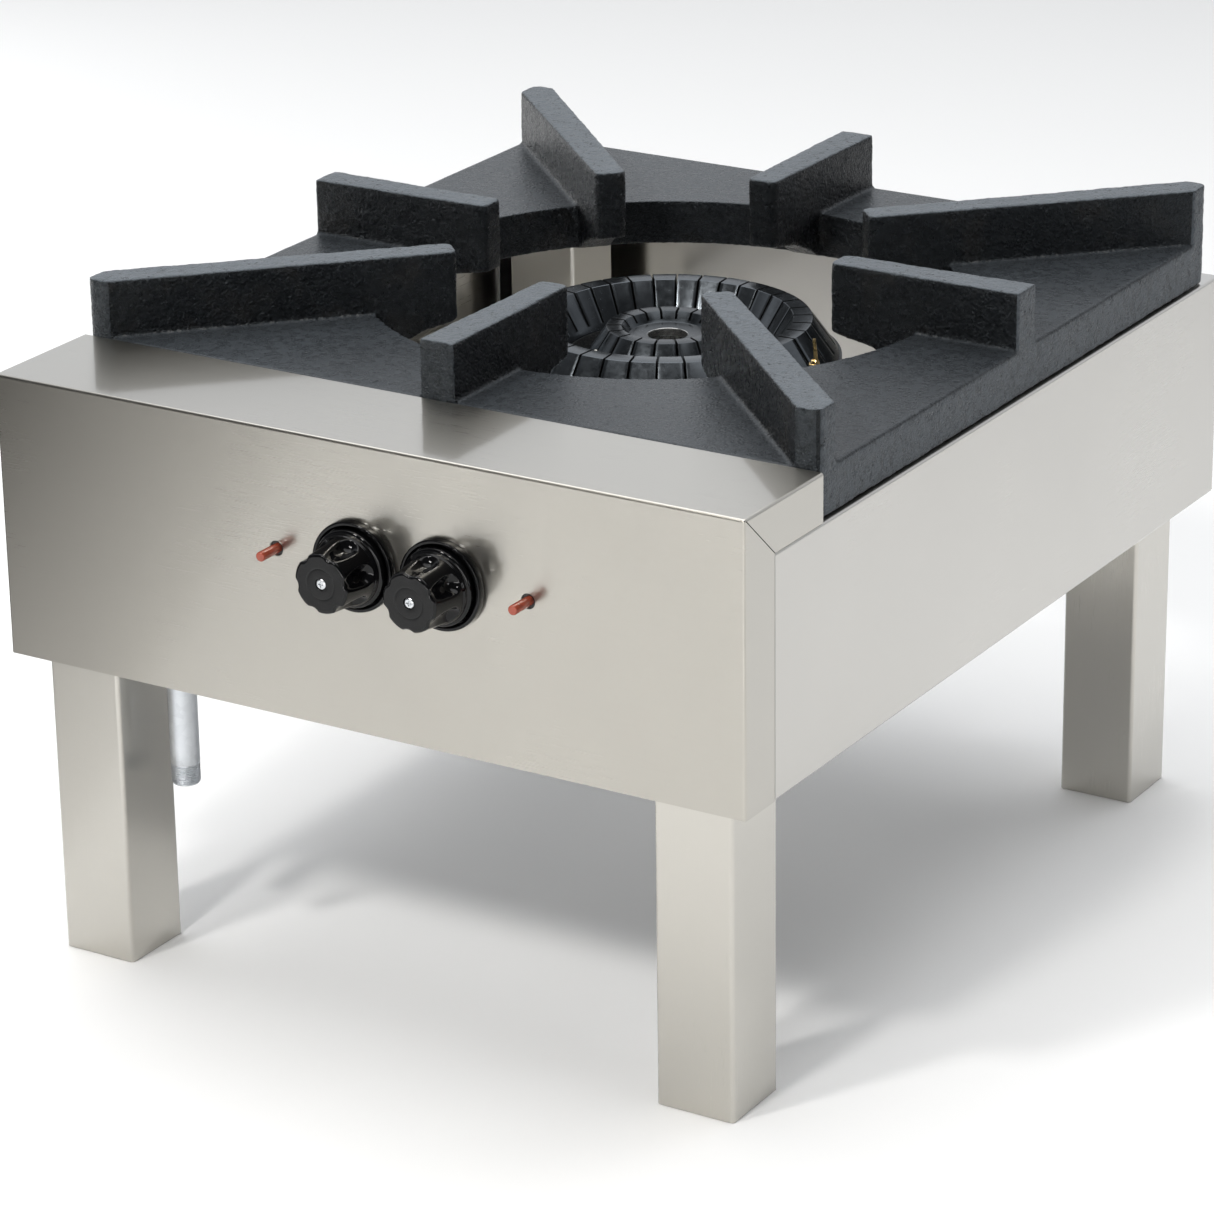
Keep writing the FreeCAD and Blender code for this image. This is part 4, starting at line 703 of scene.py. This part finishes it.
def knob_piece(name, node, body, lobe_phase):
    lo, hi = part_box(node)
    cx, cz = (lo.x + hi.x) / 2, (lo.z + hi.z) / 2
    H = PANEL_Y - lo.y
    n_a = 360
    th = np.arange(n_a) / n_a * 2 * math.pi
    scallop_r = 8.0

    def section(h, r_plain):
        """Radius round the grip at height h (mm) with the ball-ended scallops taken out."""
        if h <= 13.2:
            return np.full(n_a, r_plain)
        rs = scallop_r if h > 14 + scallop_r else math.sqrt(max(0.0, scallop_r ** 2 - (14 + scallop_r - h) ** 2)) if h > 14 else 0.0
        r = np.full(n_a, r_plain)
        f = min(1.0, max(0.0, (h - 27.0) / 15.0))
        scallop_c = 25.3 + 1.9 * f * f * (3 - 2 * f)
        if rs > 0.3:
            for k in range(6):
                c = math.radians(lobe_phase + 30 + 60 * k)
                phi = (th - c + math.pi) % (2 * math.pi) - math.pi
                inside = (np.abs(scallop_c * np.sin(phi)) < rs) & (np.abs(phi) < 1.0)
                q = scallop_c * np.cos(phi) - np.sqrt(np.maximum(rs ** 2 - (scallop_c * np.sin(phi)) ** 2, 0))
                r = np.where(inside, np.minimum(r, q), r)
            sig = math.radians(1.9) / (th[1] - th[0])
            w = int(sig * 3) + 1
            kern = np.exp(-0.5 * (np.arange(-w, w + 1) / sig) ** 2)
            kern /= kern.sum()
            r = np.convolve(np.concatenate([r[-w:], r, r[:w]]), kern, mode="valid")
        return r

    # (height, plain radius, inset): outside of the knob from its underside up to the face
    k_r = (hi.x - lo.x) * 500.0
    prof = [(5.0, k_r - 0.8, 0), (5.15, k_r - 0.4, 0), (5.5, k_r - 0.08, 0), (6.0, k_r, 0), (8.4, k_r, 0), (9.0, k_r - 0.1, 0), (9.5, k_r - 0.4, 0),
            (9.85, k_r - 0.85, 0), (10.05, k_r - 1.4, 0), (10.1, 25.75, 0), (10.15, 25.5, 0), (10.3, 25.35, 0), (10.7, 25.25, 0), (11.4, 25.15, 0),
            (12.2, 25.0, 0), (12.8, 24.7, 0), (13.2, 24.4, 0)]
    steps = [13.6, 14.0, 14.2, 14.5, 14.9, 15.4, 16.0, 16.7, 17.5, 18.4, 19.4, 20.5, 21.8, 23.2, 25, 27, 29.5, 32, 34.5, 37, 38.6, 39.4, 40.0]
    for h in steps:
        base = 24.4 - (24.4 - 22.9) * min(1.0, (h - 13.2) / 9.0) ** 0.7 - max(0.0, h - 22) * 0.105
        prof.append((h, base, 0))
    top_r = prof[-1][1]
    for k in range(1, 9):
        a = math.pi / 2 * k / 8
        prof.append((40.0 + (H * 1000 - 40.0) * math.sin(a), top_r, 2.0 * (1 - math.cos(a))))
    rows, zone = [], []
    for h, r_plain, inset in prof:
        r = section(h, r_plain) - inset
        rows.append(np.stack([r * np.cos(th), r * np.sin(th), np.full(n_a, h)], 1))
    edge = section(40.0, top_r) - 2.0
    n_side = len(rows)
    # the face, drawn in towards the screw recess
    face_h = H * 1000
    for f_ in (0.96, 0.85, 0.72, 0.6):
        r = 4.2 + (edge - 4.2) * f_
        r = r * 0.5 + (4.2 + (edge.mean() - 4.2) * f_) * 0.5 if f_ < 0.9 else r
        rows.append(np.stack([r * np.cos(th), r * np.sin(th), np.full(n_a, face_h)], 1))
    for r, h in ((11.4, face_h), (11.2, face_h - 0.05), (11.0, face_h - 0.22), (10.6, face_h - 0.22), (10.4, face_h - 0.05), (10.2, face_h), (7.0, face_h),
                 (4.6, face_h), (4.35, face_h - 0.08), (4.2, face_h - 0.3), (4.2, face_h - 1.6), (2.2, face_h - 1.6), (2.2, 34.0), (4.02, 34.0), (4.02, 5.0)):
        rr = np.full(n_a, r)
        rows.append(np.stack([rr * np.cos(th), rr * np.sin(th), np.full(n_a, h)], 1))
    rows = [r * 0.001 for r in rows]
    v, f = ring_surface(rows, (cx, PANEL_Y, cz), "-Y")
    for i in range(len(rows)):
        zone += [1 if n_side - 1 <= i < n_side + 13 else 0] * n_a
    ob = new_piece(name, v, f, body, (node,), (M["knob_black"], knob_face), zone=zone)
    sharpen(ob, 50.0)
    return ob


knob_piece("knob_left_moulding", "knob_left", "knob_left_body", 40)
knob_piece("knob_right_moulding", "knob_right", "knob_right_body", 56)


def bezel_pair():
    lo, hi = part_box("knob_bezels")
    verts, faces = [], []
    for node in ("knob_left", "knob_right"):
        k_lo, k_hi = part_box(node)
        cx, cz = (k_lo.x + k_hi.x) / 2, (k_lo.z + k_hi.z) / 2
        prof = [(0.009, 0.0), (0.032, 0.0), (0.032, 0.0045), (0.0316, 0.0060), (0.0289, 0.0060), (0.0289, 0.0016), (0.009, 0.0016)]
        prof = rounded(prof, [0.0, 0.0003, 0.0007, 0.0007, 0.0009, 0.0008, 0.0002], 4)
        v, f = lathe(prof, (cx, PANEL_Y, cz), "-Y", 144)
        b = len(verts)
        verts += v
        faces += [tuple(i + b for i in q) for q in f]
    ob = new_piece("knob_bezel_rings", verts, faces, "stove_body", ("knob_bezels",), (M["bezel_black"],))
    sharpen(ob, 50.0)


bezel_pair()


def button_piece(name, node, body):
    lo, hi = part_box(node)
    cx, cz = (lo.x + hi.x) / 2, (lo.z + hi.z) / 2
    r = (hi.x - lo.x) / 2
    L = hi.y - lo.y
    # from the outer end, drawn inwards
    prof = [(0.0, L), (r - 0.0011, L), (r - 0.0005, L - 0.00012), (r - 0.0001, L - 0.0005), (r, L - 0.0011), (r, 0.0008), (r - 0.0006, 0.0), (0.0, 0.0)]
    rows, seg = [], 64
    for rr, h in prof[1:-1]:
        rows.append([(rr * math.cos(2 * math.pi * k / seg), rr * math.sin(2 * math.pi * k / seg), h) for k in range(seg)])
    # a shallow dished end
    for rr, dh in ((0.0016, 0.00010), (0.0008, 0.00016)):
        rows.insert(0, [(rr * math.cos(2 * math.pi * k / seg), rr * math.sin(2 * math.pi * k / seg), L - dh) for k in range(seg)])
    rows.insert(0, rows.pop(1))
    v, f = ring_surface(rows, (cx, hi.y, cz), "-Y", closed=False)
    f.append(tuple(range(seg)))
    f.append(tuple((len(rows) - 1) * seg + k for k in reversed(range(seg))))
    ob = new_piece(name, v, f, body, (node,), (M["button_red"],))
    sharpen(ob, 60.0)


button_piece("igniter_button_left_moulding", "igniter_button_left", "igniter_button_left_body")
button_piece("igniter_button_right_moulding", "igniter_button_right", "igniter_button_right_body")


# ------------------------------------------------------------------ gas inlet pipe with its thread
def inlet_pipe():
    lo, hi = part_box("gas_inlet_pipe")
    cx, cy = (lo.x + hi.x) / 2, (lo.y + hi.y) / 2
    R = (hi.x - lo.x) / 2
    H = hi.z - lo.z
    crest, root, bore, pitch, length = 0.0105, 0.00945, 0.0080, 0.001814, 0.0165
    seg = 96
    per = 10
    rows = []
    n_rows = int(length / pitch * per)
    for i in range(n_rows + 1):
        h = length * i / n_rows
        row = []
        for k in range(seg):
            ph = (h / pitch - k / seg) % 1.0
            tri = 1 - abs(2 * ph - 1)
            tri = min(1.0, max(0.0, (tri - 0.14) / 0.72))
            r = root + (crest - root) * tri
            start = min(1.0, h / 0.0016)
            r = min(r, root + (crest - root) * start)
            fade = max(0.0, (h - (length - 0.0022)) / 0.0022)
            r = r * (1 - fade) + crest * fade
            a = 2 * math.pi * k / seg
            row.append((r * math.cos(a), r * math.sin(a), h))
        rows.append(row)
    for r, h in ((R - 0.00015, length + 0.0003), (R, length + 0.0006)):
        rows.append([(r * math.cos(2 * math.pi * k / seg), r * math.sin(2 * math.pi * k / seg), h) for k in range(seg)])
    for i in range(1, 25):
        h = length + 0.0006 + (H - length - 0.0006) * i / 24
        row = []
        for k in range(seg):
            a = 2 * math.pi * k / seg
            w = noise.noise(Vector((math.cos(a) * 0.9, math.sin(a) * 0.9, h * 40.0))) * 0.00006 - 0.00006
            row.append(((R + w) * math.cos(a), (R + w) * math.sin(a), h))
        rows.append(row)
    for h in (H, 0.0):
        rows.append([(bore * math.cos(2 * math.pi * k / seg), bore * math.sin(2 * math.pi * k / seg), h) for k in range(seg)])
    v, f = ring_surface(rows, (cx, cy, lo.z), "Z")
    ob = new_piece("gas_inlet_pipe_threaded", v, f, "stove_body", ("gas_inlet_pipe",), (M["galvanised_pipe"],))
    sharpen(ob, 40.0)


inlet_pipe()

# ------------------------------------------------------------------ broken edges on the carried-over parts
EDGES = {
    "valve_body_left": 0.4, "valve_body_right": 0.4, "tube_nuts": 0.35, "rail_bolts": 0.35, "burner_bolts": 0.3,
    "manifold_plug": 0.4, "knob_screw_left": 0.12, "knob_screw_right": 0.12, "burner_crossbar_front": 0.3, "burner_crossbar_rear": 0.3,
    "side_rail_left": 0.4, "side_rail_right": 0.4, "manifold_brackets": 0.25, "leg_brackets": 0.3, "igniter_clamps": 0.2,
}
for name, w in EDGES.items():
    ob = nodes[name]
    weld = ob.modifiers.new("weld", "WELD")
    weld.merge_threshold = 1e-6
    bv = ob.modifiers.new("edges", "BEVEL")
    bv.width = w * 0.001
    bv.segments = 2
    bv.limit_method = "ANGLE"
    bv.angle_limit = math.radians(35)
    bv.use_clamp_overlap = True
    bv.harden_normals = True

# ------------------------------------------------------------------ camera
CAM = dict(x=1.6809, y=-2.7436, z=1.4648, az=-0.5530, el=-0.3722, roll=-0.0144, f=4683.9)


def make_camera():
    az, el, roll = CAM["az"], CAM["el"], CAM["roll"]
    fwd = Vector((math.sin(az) * math.cos(el), math.cos(az) * math.cos(el), math.sin(el)))
    r = Vector((math.cos(az), -math.sin(az), 0.0))
    up = r.cross(fwd)
    r2 = r * math.cos(roll) + up * math.sin(roll)
    u2 = -r * math.sin(roll) + up * math.cos(roll)
    data = bpy.data.cameras.new("photo_camera")
    cam = bpy.data.objects.new("photo_camera", data)
    scene.collection.objects.link(cam)
    m = Matrix((r2, u2, -fwd)).transposed().to_4x4()
    m.translation = Vector((CAM["x"], CAM["y"], CAM["z"]))
    cam.matrix_world = m
    data.sensor_width = 36.0
    data.lens = CAM["f"] / 1214.0 * 36.0
    data.clip_start, data.clip_end = 0.05, 60.0
    data.dof.use_dof = False
    scene.camera = cam


make_camera()


# ------------------------------------------------------------------ floor, lights, background
def area(name, loc, target, size, energy, colour=(1, 1, 1), size_y=None, round_=False):
    d = bpy.data.lights.new(name, "AREA")
    d.shape = "DISK" if round_ else "RECTANGLE"
    d.size = size
    if not round_:
        d.size_y = size_y or size
    d.energy = energy
    d.color = colour
    o = bpy.data.objects.new(name, d)
    scene.collection.objects.link(o)
    o.location = loc
    o.rotation_mode = "QUATERNION"
    o.rotation_quaternion = (Vector(target) - Vector(loc)).to_track_quat("-Z", "Y")
    return o


def floor():
    me = bpy.data.meshes.new("studio_floor")
    s = 30.0
    verts = [(-s, -s, -0.0004), (s, -s, -0.0004), (s, s, -0.0004), (-s, s, -0.0004)]
    me.from_pydata(verts, [], [(0, 1, 2, 3)])
    t = Tree("studio_paper")
    a = t.noise(t.coords(), 0.8, 2.0, 0.5)
    t.done(t.ramp(a, (0.3, (0.91, 0.91, 0.905)), (0.7, (0.93, 0.93, 0.925))), 0.85, None)
    me.materials.append(t.mat)
    ob = bpy.data.objects.new("studio_floor", me)
    scene.collection.objects.link(ob)


floor()


def studio_world():
    """A dark studio with a pale wall behind: the light comes mostly from the softboxes."""
    world = bpy.data.worlds.new("studio")
    world.use_nodes = True
    nt = world.node_tree
    bg = next(n for n in nt.nodes if n.type == "BACKGROUND")
    tc = nt.nodes.new("ShaderNodeTexCoord")
    dot = nt.nodes.new("ShaderNodeVectorMath")
    dot.operation = "DOT_PRODUCT"
    aim = Vector((-0.45, 0.85, 0.22)).normalized()
    dot.inputs[1].default_value = aim
    nt.links.new(tc.outputs["Generated"], dot.inputs[0])
    mr = nt.nodes.new("ShaderNodeMapRange")
    mr.interpolation_type = "SMOOTHSTEP"
    mr.inputs["From Min"].default_value = 0.05
    mr.inputs["From Max"].default_value = 0.70
    mr.inputs["To Min"].default_value = WORLD_DARK
    mr.inputs["To Max"].default_value = WORLD_PALE
    nt.links.new(dot.outputs["Value"], mr.inputs["Value"])
    nt.links.new(mr.outputs[0], bg.inputs["Strength"])
    bg.inputs["Color"].default_value = (0.955, 0.98, 1.02, 1.0)
    scene.world = world


WORLD_DARK, WORLD_PALE = 0.05, 0.87
studio_world()

area("top_softbox", (-0.2, 0.6, 3.6), (-0.1, 0.3, 0.0), 4.2, 106.0, (1.0, 1.0, 1.0), 4.2)
area("lamp_left", (-0.75, -2.3, 2.5), (0, 0, 0.35), 0.36, 31.0, (1.0, 0.985, 0.96), round_=True)
area("lamp_right", (0.05, -2.55, 2.5), (0, 0, 0.35), 0.36, 31.0, (1.0, 0.985, 0.96), round_=True)
area("low_left", (-2.8, 0.5, 0.5), (0, 0, 0.0), 2.0, 17.0, (1.0, 1.0, 1.0), 0.6)
area("low_right", (3.0, 0.2, 0.7), (0, 0, 0.2), 1.8, 19.0, (0.97, 0.985, 1.0), 0.7)
area("low_front", (0.7, -3.3, 0.5), (0, 0, 0.0), 2.4, 22.0, (1.0, 0.995, 0.98), 0.5)


def falloff_card():
    """A glowing card only reflections see: a painted reflection of the floor, darker towards the far left in front of
    the panel.
    """
    me = bpy.data.meshes.new("falloff_card")
    me.from_pydata([(-4.2, -4.4, 0.0012), (0.4, -4.4, 0.0012), (0.4, -0.42, 0.0012), (-4.2, -0.42, 0.0012)], [], [(0, 1, 2, 3)])
    t = Tree("falloff_card")
    x, y, z = t.split(t.coords())
    d = t.math("ADD", t.math("MULTIPLY", t.math("ADD", x, 0.70), -0.917), t.math("MULTIPLY", t.math("ADD", y, 0.86), 0.40))
    f = t.span(d, -0.13, 0.24, 1.0, 0.04)
    em = t.n("ShaderNodeEmission")
    t.feed(t.math("MULTIPLY", f, CARD_GLOW), em.inputs["Strength"])
    em.inputs["Color"].default_value = (1.0, 0.995, 0.985, 1.0)
    clear = t.n("ShaderNodeBsdfTransparent")
    pick = t.n("ShaderNodeMixShader")
    t.feed(t.span(d, -0.14, -0.12, 0.0, 1.0), pick.inputs[0])
    t.to(clear.outputs[0], pick.inputs[1])
    t.to(em.outputs[0], pick.inputs[2])
    out = next(n for n in t.t.nodes if n.type == "OUTPUT_MATERIAL")
    t.to(pick.outputs[0], out.inputs["Surface"])
    me.materials.append(t.mat)
    ob = bpy.data.objects.new("falloff_card", me)
    scene.collection.objects.link(ob)
    ob.visible_camera = False
    ob.visible_diffuse = False
    ob.visible_shadow = False


CARD_GLOW = 0.97
falloff_card()

scene.view_settings.view_transform = "Standard"
scene.view_settings.look = "None"
scene.view_settings.exposure = 0.0
scene.view_settings.gamma = 1.0
